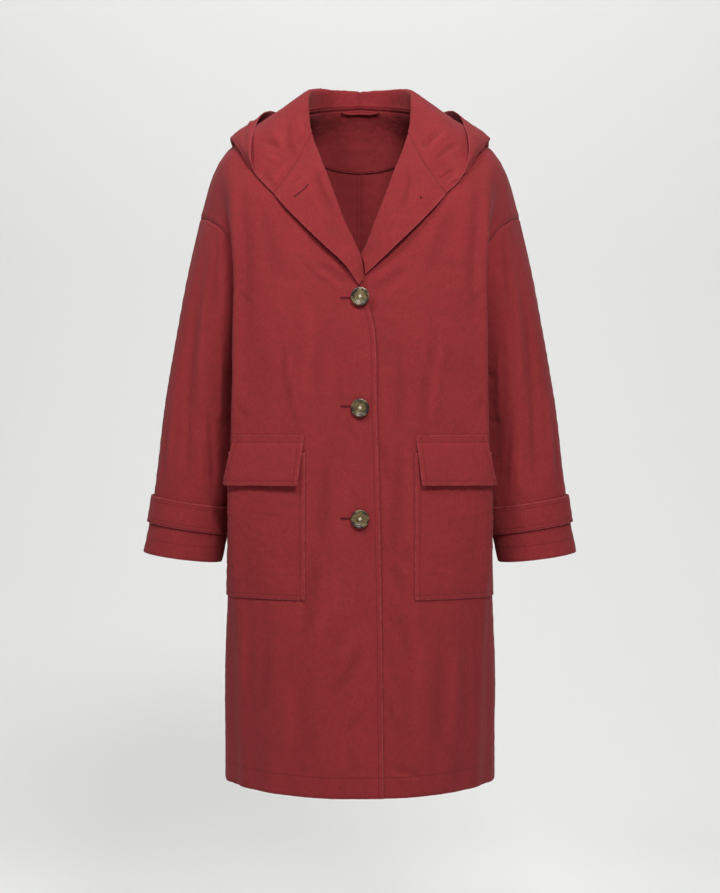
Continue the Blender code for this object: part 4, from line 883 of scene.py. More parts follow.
def crease_piece(name, cut, side):
    """Presses the creases and the unevenness of the cloth into a piece, and leaves its seams still."""
    height = np.zeros(cut.net.shape[:2])
    for crease in CREASES[name].get(side, ()) + CREASES[name].get(BOTH, ()):
        height += crease_height(cut, Crease(*crease))
    height *= CREASE_DEPTH[name] * bpy.context.scene.coat_sizes.crease
    sided = cut.net * (side, 1.0, 1.0)
    height += SLOW_HEIGHT * unevenness(sided, SLOW_WAVES)
    height += QUICK_HEIGHT * unevenness(sided, QUICK_WAVES)
    still, fade = STILL[name]
    for edge in still:
        kept = smooth_step(cut.inset(edge) / fade)
        if (name, edge) == ("front", "first"):  # below the break a front's edge is free
            free = smooth_step(cut.courses[:, None] - BREAK_ROW)
            kept = np.maximum(smooth_step(cut.inset(edge) / FREE_EDGE_FADE), free)
        height *= kept
    cut.lift(height)
    cut.relief = height * 1000 * cut.seen


def limit_lap(cut, plain, side):
    """Keeps the two fronts off each other where one laps over the other."""
    lifted = np.sum((cut.net - plain) * cut.normals(), axis=2)
    lapped = 1 - smooth_step((cut.net[..., 0] - LAP_WIDTH + LAP_MARGIN) / LAP_FADE)
    lapped *= smooth_step((cut.courses[:, None] - UNDER_BREAK_ROW + LAP_COURSES) / LAP_COURSES)
    allowed = np.clip(lifted, *LAP_SLACK[side])
    if side == RIGHT:  # its free edge stands a little off the front under it
        allowed += OVER_EDGE_RISE * np.exp(-cut.inset("first") / OVER_EDGE_FADE)
    cut.lift((allowed - lifted) * lapped)


def sew_seams(cuts):
    """The seams of one side, with the turnings under the piece that they are pressed towards."""
    sew(cuts["front"], "last", 0.0, YOKE_ROWS, True)
    sew(cuts["back"], "last", 0.0, YOKE_ROWS, True)
    sew(cuts["front"], "last", YOKE_ROWS, BODY_ROWS, False)
    sew(cuts["back"], "last", YOKE_ROWS, BODY_ROWS, True)
    sew(cuts["front"], "top", 0.0, FRONT_STOPS[-1], False)
    sew(cuts["back"], "top", 0.0, BACK_STOPS[-1], True)
    sew(cuts["back"], "first", 0.0, BODY_ROWS, False)
    for half in ("sleeve_front", "sleeve_back"):
        sew(cuts[half], "top", 0.0, YOKE_ROWS, False)
        for edge in ("first", "last"):
            sew(cuts[half], edge, 0.0, SLEEVE_ROWS, half == "sleeve_back")
    sew(cuts["hood"], "top", 0.0, COLLAR_STOPS[-1], False)
    sew(cuts["hood"], "bottom", 0.0, COLLAR_STOPS[-1], True, GORGE_DIP)
    sew(cuts["lapel"], "top", 0.0, COLLAR_STOPS[-1], False, GORGE_DIP)


def puckers(pucker, along, off):
    """The small waves along a row of stitches, at every point's way along it and distance off it."""
    wave = np.sin(along / pucker.length + pucker.swing * np.sin(along / pucker.drift))
    return pucker.height * wave * bell(off / pucker.reach)


def sew(cut, edge, start, stop, turned, dip=SEAM_DIP):
    """A seam along part of one edge. turned says whether the turnings lie under this piece."""
    inset = cut.inset(edge)
    along, places = cut.run(edge)
    height = puckers(SEAM_PUCKER, along, inset) * smooth_step(inset / 0.004) - dip * bell(inset / SEAM_HALF)
    if turned:
        shelf = smooth_step((TURNING + TURNING_EDGE - inset) / TURNING_EDGE)
        height += TURNING_RISE * smooth_step(inset / TURNING_EDGE) * shelf
    # past its ends it dies away within 0.4 of a course
    height *= smooth_step((places - start) / 0.4 + 1) * smooth_step((stop - places) / 0.4 + 1)
    cut.lift(height * cut.seen)


def share_normals(cuts):
    """Pieces that are sewn together use the mean of their normals along the seam, as in a mitre."""
    edges = []
    for name, cut in cuts.items():
        cut.faced = cut.normals()
        cut.free = np.ones(cut.net.shape[:2])
        rows, columns = cut.net.shape[:2]
        ring = [(i, j) for i in range(rows) for j in (0, columns - 1)]
        ring += [(i, j) for j in range(1, columns - 1) for i in (0, rows - 1)]
        edges += [(name, i, j) for i, j in ring]
    tree = KDTree(len(edges))
    for number, (name, i, j) in enumerate(edges):
        tree.insert(cuts[name].net[i, j], number)
    tree.balance()
    given = {name: cut.faced.copy() for name, cut in cuts.items()}
    for name, i, j in edges:
        cut, own = cuts[name], given[name][i, j]
        nearest = {}
        for _, number, gap in tree.find_range(cut.net[i, j], JOIN_GAP):
            other, k, l = edges[number]
            if other != name and gap < nearest.get(other, (1.0,))[0]:
                nearest[other] = (gap, given[other][k, l])
        total = own.copy()
        # a neighbour that faces the other way, as at a fold, counts for less
        for _, normal in nearest.values():
            total += normal * float(smooth_step((own @ normal + 0.6) / 0.5))
            cut.free[i, j] = 0.0
        if abs(cut.net[i, j, 0]) < 1e-4 and name in ("back", "hood"):  # the seam at the centre back
            total[0] = 0.0
            cut.free[i, j] = 0.0
        cut.faced[i, j] = unit(total)


# ---------------------------------------------------------------- from flat cloth to closed pieces
def row_layers(cut, stitched):
    """For each layer, the signed distance of every point from its row of stitching, in mm."""
    layers = {}
    unused = {way: list(names) for way, names in ROW_LAYERS.items()}
    for row in stitched:
        _, places = cut.run(row.edge)
        gap = (cut.inset(row.edge) - row.inset) * 1000
        shown = (places >= row.start - 1e-6) & (places <= row.stop + 1e-6)
        way = "down" if row.edge in ("first", "last") else "across"
        layers[unused[way].pop(0)] = np.where(shown, gap, FAR_OFF)
    for name in unused["down"] + unused["across"]:
        layers[name] = np.full(cut.net.shape[:2], FAR_OFF)
    return layers


def skin(name, cut, side, wall, stitched=(), rubbed=()):
    """The closed cloth of a piece, its free edges rounded, with all that its material reads."""
    rows, columns = cut.net.shape[:2]
    count = rows * columns
    outer = cut.net
    own = cut.normals()
    faced = own if cut.faced is None else cut.faced
    reach = 1 / np.maximum(np.sum(own * faced, axis=2), MITRE_LEAST)
    inner = outer - faced * (wall * reach)[..., None]
    away = np.zeros_like(outer)
    away[0] += unit(outer[0] - outer[1])
    away[-1] += unit(outer[-1] - outer[-2])
    away[:, 0] += unit(outer[:, 0] - outer[:, 1])
    away[:, -1] += unit(outer[:, -1] - outer[:, -2])
    index = np.arange(count).reshape(rows, columns)
    ring = np.concatenate([index[:-1, 0], index[-1, :-1], index[:0:-1, -1], index[0, :0:-1]])
    rounding = np.broadcast_to(wall * EDGE_ROUND * cut.free, (rows, columns))
    middles = (outer + inner) / 2 + unit(away) * rounding[..., None]
    points = np.concatenate([outer.reshape(-1, 3), inner.reshape(-1, 3), middles.reshape(-1, 3)[ring]])
    points *= (side, 1.0, 1.0)
    quads = np.stack([index[:-1, :-1], index[1:, :-1], index[1:, 1:], index[:-1, 1:]], axis=-1).reshape(-1, 4)
    after = np.roll(ring, -1)
    middle = 2 * count + np.arange(len(ring))
    middle_after = np.roll(middle, -1)
    edging = [
        np.stack([after, ring, middle, middle_after], axis=-1),
        np.stack([middle_after, middle, ring + count, after + count], axis=-1),
    ]
    faces = np.concatenate([quads, quads[:, ::-1] + count, *edging])
    if cut.sign * side < 0:
        faces = faces[:, ::-1]
    made = add_mesh(name, points, faces.tolist())

    def on_all(grid):
        flat = np.broadcast_to(grid, (rows, columns)).reshape(-1)
        return np.concatenate([flat, flat, flat[ring]])

    for layer, grid in row_layers(cut, stitched).items():
        write_layer(made, layer, on_all(grid))
    near = np.full((rows, columns), FAR_OFF)
    for edge in rubbed:
        near = np.minimum(near, cut.inset(edge) * 1000)
    write_layer(made, "edge", on_all(near))
    write_layer(made, "relief", on_all(cut.relief))
    lay_out(made, "cloth", on_all(cut.along), on_all(-cut.down))
    return made


def add_mesh(name, points, faces):
    mesh = bpy.data.meshes.new(name)
    mesh.from_pydata(np.asarray(points).tolist(), [], faces)
    mesh.shade_smooth()
    made = bpy.data.objects.new(name, mesh)
    bpy.context.scene.collection.objects.link(made)
    return made


def write_layer(made, name, values):
    layer = made.data.attributes.new(name, "FLOAT", "POINT")
    layer.data.foreach_set("value", np.asarray(values, np.float32))


def lay_out(made, name, along, down):
    """A UV map in metres, across and down the cloth."""
    corners = np.empty(len(made.data.loops), np.int32)
    made.data.loops.foreach_get("vertex_index", corners)
    layer = made.data.uv_layers.new(name=name)
    places = np.stack([along, down], axis=1)[corners]
    layer.data.foreach_set("uv", places.reshape(-1).astype(np.float32))


def dress(made, material, node):
    """Gives a piece its material and slot, puts it under the root, and hides the solid of its node."""
    made.data.materials.clear()
    made.data.materials.append(material)
    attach(made, "root")
    if node:
        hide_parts(node)
    return made


def sewn_piece(name, cut, side, wall, stitched, rubbed):
    """A cloth piece in place of the solid of that name, in the coat's cotton."""
    made = skin(name + "_cloth", cut, side, wall, stitched, rubbed)
    return dress(made, outer_cloth(), name)


# ---------------------------------------------------------------- pieces that lie on others
def laid_cut(under, courses, columns, stands, wall):
    """A cut that lies on another: courses and columns are grids of places on it."""
    points, normals = under.at(courses, columns)
    net = points + normals * (stands + wall)[..., None]
    rows, count = net.shape[:2]
    return Cut(net, np.arange(rows), np.arange(count), under.sign)


def pocket_cut(side, wall):
    """A patch pocket: sewn down at its sides and foot, and slack in the middle."""
    down, out = np.linspace(0, 1, 61)[:, None], np.linspace(0, 1, 49)[None]
    courses = POCKET_COURSES[0] + (POCKET_COURSES[1] - POCKET_COURSES[0]) * down
    columns = POCKET_COLUMNS[0] + (POCKET_COLUMNS[1] - POCKET_COLUMNS[0]) * out
    sewn_down = smooth_step(np.minimum(out, 1 - out) / POCKET_SEWN) * smooth_step((1 - down) / POCKET_SEWN)
    bag = np.sin(math.pi * np.clip(down * 0.80 + 0.12, 0, 1)) * np.sin(math.pi * out)
    stands = POCKET_STAND + sewn_down * (POCKET_SLACK + POCKET_BAG * bag)
    cut = laid_cut(coat_cuts(side)["front"], courses, columns, stands, wall)
    # read from elsewhere in the waves, so that they aren't a copy of the front's under it
    own_place = cut.net * (side, 1.0, 1.0) * POCKET_CRUMPLE_SCALE + 3.0
    cut.lift(POCKET_CRUMPLE * unevenness(own_place, QUICK_WAVES) * sewn_down)
    return pressed_edges(cut, EVERY_EDGE)


def pressed_edges(cut, edges):
    """Stitched edges: the cloth dips at the row of stitching and is full outside it."""
    for edge in edges:
        off = cut.inset(edge) - EDGE_STITCH
        along, _ = cut.run(edge)
        cut.lift(puckers(EDGE_PUCKER, along, off) - STITCH_DIP * bell(off / STITCH_HALF))
    return cut


def flap_cut(side, wall):
    """A pocket flap: held along its top, and standing off at its free edge."""
    down, out = np.linspace(0, 1, 35)[:, None], np.linspace(0, 1, 61)[None]
    courses = [row.course for row in FLAP]
    at = courses[0] + (courses[-1] - courses[0]) * down
    near, far, stand = (
        np.interp(at, courses, [getattr(row, key) for row in FLAP]) for key in ("near", "far", "stand"))
    wave = np.sin(2 * math.pi * (out * FLAP_WAVES + FLAP_PHASE[side])) * down**2
    stands = stand * MM + FLAP_WAVE * wave
    cut = laid_cut(coat_cuts(side)["front"], at, near + (far - near) * out, stands, wall)
    return pressed_edges(cut, ("bottom", "first", "last"))


def strap_cut(side, wall):
    """A plain band round the sleeve, which stands off it most on the outside of the arm."""
    front, back = (coat_cuts(side)[half] for half in ("sleeve_front", "sleeve_back"))
    rows = np.linspace(STRAP_FROM, STRAP_TO, 15)
    turns = np.linspace(-1, 1, 121)
    net = np.empty((len(rows), len(turns), 3))
    for j, turn in enumerate(turns):
        half, other = (front, back) if turn < 0 else (back, front)
        points, normals = half.at(rows, abs(turn) * YOKE_ROWS * STRAP_CLOSED)
        if abs(turn) < 0.04:  # over the outer seam both halves' normals count
            normals = unit(normals + other.at(rows, abs(turn) * YOKE_ROWS)[1])
        proud = STRAP_STAND + STRAP_PROUD * bell(turn / STRAP_PROUD_HALF)
        net[:, j] = points + normals * (proud + wall)
    return pressed_edges(Cut(net, np.arange(len(rows)), np.arange(len(turns)), 1), ("top", "bottom"))


def facing_cut(wall):
    """The back neck facing: one piece inside the back of the neck, across the centre seam."""
    columns = np.linspace(-NECK_STOP, NECK_STOP, 97)
    share = np.linspace(0, 1, 41)[:, None]
    foot = FACING_DEPTH - FACING_RISE * columns**2
    courses = FACING_TOP + (foot - FACING_TOP) * share
    points, normals = coat_cuts(LEFT)["back"].at(courses, np.abs(columns))
    mirror = np.where(columns < 0, -1.0, 1.0)[None, :, None] * (1.0, 0.0, 0.0) + (0.0, 1.0, 1.0)
    points, normals = points * mirror, normals * mirror
    # at the centre seam the two sides' normals meet, so they lean to neither
    middle = bell(columns / 0.5)[None, :, None]
    normals = unit(normals * (1 - middle * (1.0, 0.0, 0.0)))
    net = points - normals * (bpy.context.scene.coat_sizes.wall + REST + wall)
    return pressed_edges(Cut(net, np.arange(len(share)), np.arange(len(columns)), 1), ("bottom",))


def add_tube(name, route, radii, sides=12):
    """A round cord along a route. radii is one radius or one for each point."""
    route = np.asarray(route, float)
    radii = np.broadcast_to(np.asarray(radii, float), len(route))
    ways = unit(np.gradient(route, axis=0))
    first = np.cross(ways[0], (0.0, 1.0, 0.0) if abs(ways[0][1]) < 0.9 else (1.0, 0.0, 0.0))
    frames = [unit(first)]
    for way in ways[1:]:
        frames.append(unit(frames[-1] - way * (frames[-1] @ way)))
    frames = np.array(frames)
    others = np.cross(ways, frames)
    turns = np.linspace(0, 2 * math.pi, sides, endpoint=False)
    rings = (route[:, None] + radii[:, None, None] * (
        np.cos(turns)[None, :, None] * frames[:, None] + np.sin(turns)[None, :, None] * others[:, None]))
    around = np.arange(sides)
    near = np.arange(len(route) - 1)[:, None] * sides + around
    after = np.arange(len(route) - 1)[:, None] * sides + np.roll(around, -1)
    walls = np.stack([near, after, after + sides, near + sides], axis=-1)
    caps = [around[::-1].tolist(), (around + (len(route) - 1) * sides).tolist()]
    points = rings.reshape(-1, 3)
    made = add_mesh(name, points, walls.reshape(-1, 4).tolist() + caps)
    for layer in (*ROW_LAYERS["down"], *ROW_LAYERS["across"], "edge"):
        write_layer(made, layer, np.full(len(points), FAR_OFF))
    write_layer(made, "relief", np.zeros(len(points)))
    lengths = np.concatenate([[0.0], np.cumsum(np.linalg.norm(np.diff(route, axis=0), axis=1))])
    lay_out(made, "cloth", np.tile(turns * radii.mean(), len(route)), np.repeat(lengths, sides))
    return made


# ---------------------------------------------------------------- materials
SMOOTH = {"interpolation_type": "SMOOTHSTEP"}


def fill(node, inputs):
    """Gives a node's inputs their values or their links. inputs is the first of them in order, or
    some of them by name, or by number where several share a name."""
    items = inputs.items() if isinstance(inputs, dict) else enumerate(inputs)
    for key, value in items:
        if isinstance(value, bpy.types.NodeSocket):
            node.id_data.links.new(value, node.inputs[key])
        else:
            node.inputs[key].default_value = value


def add_node(tree, kind, inputs=(), out=0, **settings):
    """Adds a shader node with its settings and links, and gives one of its outputs."""
    node = tree.nodes.new("ShaderNode" + kind)
    for name, value in settings.items():
        setattr(node, name, value)
    fill(node, inputs)
    return node.outputs[out]


def new_material(name):
    material = bpy.data.materials.new(name)
    material.use_nodes = True
    return material, material.node_tree, material.node_tree.nodes["Principled BSDF"]


def relief_of(tree, parts):
    """The bump of patterns that are laid over each other, each with its height in millimetres."""
    height = 0.0
    for pattern, millimetres in parts:
        height = add_node(tree, "Math", (pattern, millimetres, height), operation="MULTIPLY_ADD")
    return add_node(tree, "Bump", {"Strength": 1.0, "Distance": MM, "Height": height})


def cotton_twill(name, colour):
    """Cotton twill, washed after garment dyeing: matt, faintly furry, uneven in its dye, and paler
    where its edges and turnings rub. Its colour also carries painted shade in the troughs of its creases and
    painted light on their ridges, and painted shade in the grooves of its stitching. Its topstitching is in a
    darker thread."""
    colours = bpy.context.scene.coat_colours
    material, tree, shader = new_material(name)
    cloth = add_node(tree, "UVMap", uv_map="cloth")
    place = add_node(tree, "TexCoord", out="Object")

    # The twill lines of such a cloth lie 0.7 mm apart. They are drawn 1.5 mm apart, to show. A wave
    # texture of scale 1 has ten radians to the unit along each axis.
    lines = 2 * math.pi / (10 * math.sqrt(2) * 0.0015)
    twill = add_node(tree, "TexWave", (cloth, lines, 1.2, 1.0, 0.6), out="Fac", bands_direction="DIAGONAL")
    # slubs are threads about 6 mm long and 0.7 mm thick, and streaks are yarns that took the dye
    # less, in lines 2 mm wide and 22 mm long
    slubs, streaks = (
        add_node(tree, "TexNoise", {
            "Vector": add_node(tree, "Mapping", {"Vector": cloth, "Scale": (1 / width, 1 / length, 1.0)}),
            "Scale": 1.0, "Detail": detail})
        for width, length, detail in ((0.0007, 0.006, 2.0), (0.002, 0.022, 3.0)))
    # dye: patches 45 mm wide, clouds of 7 mm and a fine grain of 1.6 mm; and crumples 16 mm across
    # that washing has left, sharper than the mesh can hold
    patches, clouds, grain, crumples = (
        add_node(tree, "TexNoise", {"Vector": place, "Scale": 1 / size, "Detail": detail, "Roughness": rough})
        for size, detail, rough in (
            (0.045, 3.0, 0.5), (0.007, 4.0, 0.5), (0.0016, 2.0, 0.5), (0.016, 5.0, 0.62)))

    # a row of stitching: dashes of thread 0.9 mm thick in a groove 3 mm wide
    sides = add_node(tree, "SeparateXYZ", (cloth,)).node.outputs
    thread, groove = 0.0, 0.0
    for layer in ROW_LAYERS["down"] + ROW_LAYERS["across"]:
        run = sides["Y"] if layer in ROW_LAYERS["down"] else sides["X"]
        run = add_node(tree, "Math", (run, 1 / bpy.context.scene.coat_sizes.stitch), operation="MULTIPLY")
        dash = add_node(tree, "Math", (run,), operation="FRACT")
        dash = add_node(tree, "MapRange", (dash, 0.80, 0.86, 1.0, 0.0), **SMOOTH)
        gap = add_node(tree, "Attribute", out="Fac", attribute_name=layer)
        gap = add_node(tree, "Math", (gap,), operation="ABSOLUTE")
        shown = add_node(tree, "MapRange", (gap, 0.25, 0.75, 1.0, 0.0), **SMOOTH)
        shown = add_node(tree, "Math", (shown, dash), operation="MULTIPLY")
        thread = add_node(tree, "Math", (shown, thread), operation="MAXIMUM")
        hollow = add_node(tree, "MapRange", (gap, 0.3, 2.0, 1.0, 0.0), **SMOOTH)
        groove = add_node(tree, "Math", (hollow, groove), operation="MAXIMUM")

    # rubbed: the outer 2 mm of an edge, broken up by the clouds
    near = add_node(tree, "Attribute", out="Fac", attribute_name="edge")
    near = add_node(tree, "MapRange", (near, 0.1, 1.8, 0.6, 0.0), **SMOOTH)
    broken = add_node(tree, "MapRange", (clouds, 0.35, 0.65, 0.25, 1.0), **SMOOTH)
    rubbed = add_node(tree, "Math", (near, broken), operation="MULTIPLY")

    # How light the cloth's colour is, from the low places of each pattern to its high ones. The patches,
    # clouds, streaks, slubs and grain are the dye's own unevenness; the relief of the creases paints shade in
    # their troughs and light on their ridges.
    value = 1.0
    relief = add_node(tree, "Attribute", out="Fac", attribute_name="relief")
    for pattern, low, high, dark, light in (
        (patches, 0.30, 0.70, 0.97, 1.03),
        (clouds, 0.30, 0.70, 0.965, 1.035),
        (streaks, 0.30, 0.70, 0.965, 1.035),
        # painted shade in the troughs of creases and painted light on their ridges
        (relief, -2.4, 2.4, 0.86, 1.07),
        (slubs, 0.25, 0.75, 0.90, 1.10),
        (grain, 0.30, 0.70, 0.91, 1.09),
    ):
        share = add_node(tree, "MapRange", (pattern, low, high, dark, light), **SMOOTH)
        value = add_node(tree, "Math", (share, value), operation="MULTIPLY")
    # the cloth's colour: its dye's unevenness, with the painted shade and light of the creases
    dye_and_painted_shade = add_node(tree, "HueSaturation", {"Value": value, "Color": (*colour, 1.0)})
    # painted shade in the groove of each row of stitching, up to 8 per cent of the way to the gap colour
    shade = add_node(tree, "Math", (groove, 0.08), operation="MULTIPLY")
    for share, over in ((rubbed, colours.worn), (shade, colours.gap), (thread, colours.thread)):
        dye_and_painted_shade = add_node(tree, "Mix", {0: share, 6: dye_and_painted_shade, 7: (*over, 1.0)}, out=2, data_type="RGBA")

    fill(shader, {
        "Base Color": dye_and_painted_shade,
        "Normal": relief_of(tree, (
            (twill, 0.07), (slubs, 0.10), (grain, 0.10), (clouds, 0.30), (crumples, 1.1), (groove, -0.12),
            (thread, 0.16))),
        "Roughness": add_node(tree, "MapRange", (clouds, 0.3, 0.7, 0.86, 0.96), **SMOOTH),
        "IOR": 1.50,
        "Specular IOR Level": 0.22,
        "Sheen Weight": 0.06,
        "Sheen Roughness": 0.45,
        "Sheen Tint": (0.86, 0.55, 0.56, 1.0),
    })
    return material


def polished_horn(name):
    """Horn, turned and polished: layers of brown and grey with paler veins, and painted shade in dark blots
    round its rim.
    """
    material, tree, shader = new_material(name)
    place = add_node(tree, "TexCoord", out="Object")
    # veins 8 mm apart run slantwise through the blank
    slant = add_node(tree, "Mapping", {
        "Vector": place, "Rotation": (0.3, 0.9, 0.5), "Scale": (1.0, 0.35, 1.8)})
    veins = add_node(tree, "TexNoise", {
        "Vector": slant, "Scale": 1 / 0.008, "Detail": 5.0, "Lacunarity": 0.6, "Distortion": 1.4})
    # blots 11 mm across, and scratches 0.9 mm apart
    blots, scratches = (
        add_node(tree, "TexNoise", {"Vector": place, "Scale": 1 / size, "Detail": 2.0})
        for size in (0.011, 0.0009))
    tone = add_node(tree, "ValToRGB", (veins,))
    stops = ((0.30, "140E08"), (0.42, "3D2F18"), (0.52, "7A663A"), (0.60, "54452A"), (0.74, "A8945E"))
    bands = tone.node.color_ramp.elements
    while len(bands) < len(stops):
        bands.new(0.5)
    for band, (position, code) in zip(bands, stops):
        band.position = position
        band.color = (*from_hex(code), 1.0)
    # the rim is darkened with painted shade in blots, from 6.4 to 9.6 mm from the middle
    radius = add_node(tree, "Attribute", out="Fac", attribute_name="radius")
    rim = add_node(tree, "MapRange", (radius, 6.4, 9.6, 0.0, 1.0), **SMOOTH)
    rim_shade = add_node(tree, "MapRange", (blots, 0.48, 0.55, 0.0, 0.95), **SMOOTH)
    rim_shade = add_node(tree, "Math", (rim_shade, rim), operation="MULTIPLY")
    # rings that the lathe left, 0.9 mm apart
    rings = add_node(tree, "Math", (radius, 2 * math.pi / 0.9), operation="MULTIPLY")
    rings = add_node(tree, "Math", (rings,), operation="SINE")
    ringed = add_node(tree, "MapRange", (rings, -1.0, 1.0, 0.0, 0.30), **SMOOTH)
    body = tone
    # over the horn's own tone: near-black painted shade in blots on the rim, and the lathe's dark rings
    for share, over in ((0.35, bpy.context.scene.coat_colours.horn), (rim_shade, from_hex("0E0B08")),
                        (ringed, from_hex("1F170D"))):
        body = add_node(tree, "Mix", {0: share, 6: body, 7: (*over, 1.0)}, out=2, data_type="RGBA")
    fill(shader, {
        "Base Color": body,
        "Normal": relief_of(tree, ((scratches, 0.02), (rings, 0.03))),
        "Roughness": add_node(tree, "MapRange", (scratches, 0.3, 0.7, 0.24, 0.40), **SMOOTH),
        "IOR": 1.54,
        "Specular IOR Level": 0.5,
    })
    return material


def spun_thread(name, colour):
    """Polyester-cotton sewing thread: two plies, slightly glossy."""
    material, tree, shader = new_material(name)
    place = add_node(tree, "TexCoord", out="Object")
    # plies of a thread, drawn 0.6 mm apart
    plies = add_node(tree, "TexNoise", {"Vector": place, "Scale": 1 / 0.0006, "Detail": 2.0})
    value = add_node(tree, "MapRange", (plies, 0.3, 0.7, 0.72, 1.15), **SMOOTH)
    fill(shader, {
        "Base Color": add_node(tree, "HueSaturation", {"Value": value, "Color": (*colour, 1.0)}),
        "Normal": relief_of(tree, ((plies, 0.12),)),
        "Roughness": 0.70,
        "Specular IOR Level": 0.25,
        "Sheen Weight": 0.05,
    })
    return material


def made_once(name, make, *values):
    """A material of this name, made the first time that it is asked for."""
    return bpy.data.materials.get(name) or make(name, *values)


def outer_cloth():
    return made_once("cotton twill", cotton_twill, tuple(bpy.context.scene.coat_colours.cloth))


# ---------------------------------------------------------------- the operators
class COAT_OT_panels(bpy.types.Operator):
    """Fronts, backs and sleeves: the panels of the coat, sewn together, with their creases"""

    bl_idname = "coat.panels"
    bl_label = "Fronts, backs and sleeves"

    def execute(self, context):
        for side in (RIGHT, LEFT):
            for part, rows in PANEL_STITCHES.items():
                name, cut = f"{part}_{WORDS[side]}", coat_cuts(side)[part]
                sewn_piece(name, cut, side, context.scene.coat_sizes.wall, rows, PANEL_EDGES[part])
        return {"FINISHED"}


class COAT_OT_hood(bpy.types.Operator):
    """Hood, folded back on the shoulders, and the lapels that it runs into"""

    bl_idname = "coat.hood"
    bl_label = "Hood and lapels"

    def execute(self, context):
        for side in (RIGHT, LEFT):
            for part, rubbed in (("hood", ("last",)), ("lapel", ("last", "top"))):
                name = f"{part}_{WORDS[side]}"
                sewn_piece(name, coat_cuts(side)[part], side, HOOD_WALL, (), rubbed)
        return {"FINISHED"}


class COAT_OT_pockets(bpy.types.Operator):
    """Patch pockets with their stitched flaps"""

    bl_idname = "coat.pockets"
    bl_label = "Pockets and flaps"

    def execute(self, context):
        wall = context.scene.coat_sizes.wall
        for side in (RIGHT, LEFT):
            for name, make, rows in (
                ("pocket_" + WORDS[side], pocket_cut, POCKET_STITCHES),
                ("pocket_flap_" + WORDS[side], flap_cut, FLAP_STITCHES),
            ):
                sewn_piece(name, make(side, wall), side, wall, rows, EVERY_EDGE)
        return {"FINISHED"}


class COAT_OT_straps(bpy.types.Operator):
    """Cuff straps: a stitched band round each sleeve"""

    bl_idname = "coat.straps"
    bl_label = "Cuff straps"

    def execute(self, context):
        wall = context.scene.coat_sizes.wall
        for side in (RIGHT, LEFT):
            word = WORDS[side]
            sewn_piece("cuff_strap_" + word, strap_cut(side, wall), side, wall, STRAP_STITCHES,
                       ("top", "bottom"))
        return {"FINISHED"}


class COAT_OT_neck(bpy.types.Operator):
    """Back neck facing and hanger loop, inside the neck"""

    bl_idname = "coat.neck"
    bl_label = "Neck facing and loop"

    def execute(self, context):
        sewn_piece("back_neck_facing", facing_cut(FACING_WALL), LEFT, FACING_WALL, FACING_STITCHES,
                   ("bottom",))
        # the loop lies on the facing, and its left half is the mirror of its right half
        inset = context.scene.coat_sizes.wall + 2 * REST + FACING_WALL + LOOP_RADIUS
        columns, courses = np.array(LOOP_ROUTE).T
        points, normals = coat_cuts(LEFT)["back"].at(courses, columns)
        half = points - normals * inset
        route = np.concatenate([half, half[-2::-1] * (-1.0, 1.0, 1.0)])
        fine = spline(np.arange(len(route)), route, np.linspace(0, len(route) - 1, 97))
        dress(add_tube("hanger_loop_cord", fine, LOOP_RADIUS), outer_cloth(), "hanger_loop")
        return {"FINISHED"}


def button_seats():
    """Where each button lies: a point of the over front on the centre line, and its normal."""
    front = coat_cuts(RIGHT)["front"]
    seats = []
    for number in range(1, 4):
        low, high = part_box(f"button_{number}")
        level = (low[2] + high[2]) / 2
        gap = np.abs(front.net[..., 0]) + np.abs(front.net[..., 2] - level)
        gap[front.courses < UNDER_BREAK_ROW] += 1.0  # the lapel's own courses don't count
        i, j = np.unravel_index(np.argmin(gap), gap.shape)
        # the mean normal of the cloth under the button, and its foremost point there
        face = unit(np.array([0.0, *np.mean(front.faced[i - 3:i + 4, j - 2:j + 3, 1:], axis=(0, 1))]))
        foot = float(np.min(front.net[i - 4:i + 5, j - 2:j + 3, 1]))
        seats.append((np.array([0.0, foot, level]), face))
    return seats


def select_faces(mesh_object, test):
    """Selects, in edit mode, the faces for which the test of their centre and normal holds."""
    bpy.ops.object.mode_set(mode="EDIT")
    bpy.ops.mesh.select_all(action="DESELECT")
    bpy.context.tool_settings.mesh_select_mode = (False, False, True)
    bpy.ops.object.mode_set(mode="OBJECT")
    for face in mesh_object.data.polygons:
        face.select = bool(test(face.center, face.normal))
    bpy.ops.object.mode_set(mode="EDIT")


def turned_button():
    """A four-hole button, face up on the XY plane: a disc with a rolled rim and a dished middle."""
    bpy.ops.object.select_all(action="DESELECT")
    bpy.ops.mesh.primitive_cylinder_add(
        vertices=72, radius=BUTTON_RADIUS, depth=BUTTON_THICKNESS, location=(0, 0, BUTTON_THICKNESS / 2))
    blank = bpy.context.object
    blank.name = "button_blank"
    bpy.ops.object.transform_apply(location=True, rotation=True, scale=True)
    for up, steps in ((1, BUTTON_FACE), (-1, BUTTON_BACK)):
        select_faces(blank, lambda centre, normal: normal.z * up > 0.9)
        for width, rise in steps:
            bpy.ops.mesh.inset(thickness=width)
            bpy.ops.transform.translate(value=(0, 0, rise))
    bpy.ops.object.mode_set(mode="OBJECT")
    bevel = blank.modifiers.new("rolled rim", "BEVEL")
    bevel.width, bevel.segments, bevel.angle_limit = BUTTON_ROLL, 4, math.radians(25)
    bpy.ops.object.modifier_apply(modifier=bevel.name)
    for across, up in ((-1, -1), (1, -1), (1, 1), (-1, 1)):
        bpy.ops.object.select_all(action="DESELECT")
        place = (across * HOLE_SPREAD, up * HOLE_SPREAD, BUTTON_THICKNESS / 2)
        bpy.ops.mesh.primitive_cylinder_add(
            vertices=20, radius=HOLE_RADIUS, depth=5 * BUTTON_THICKNESS, location=place)
        drill = bpy.context.object
        bpy.ops.object.select_all(action="DESELECT")
        blank.select_set(True)
        bpy.context.view_layer.objects.active = blank
        hole = blank.modifiers.new("hole", "BOOLEAN")
        hole.operation, hole.solver, hole.object = "DIFFERENCE", "EXACT", drill
        bpy.ops.object.modifier_apply(modifier=hole.name)
        bpy.data.objects.remove(drill, do_unlink=True)
    bpy.ops.object.shade_smooth_by_angle(angle=math.radians(38))
    return blank


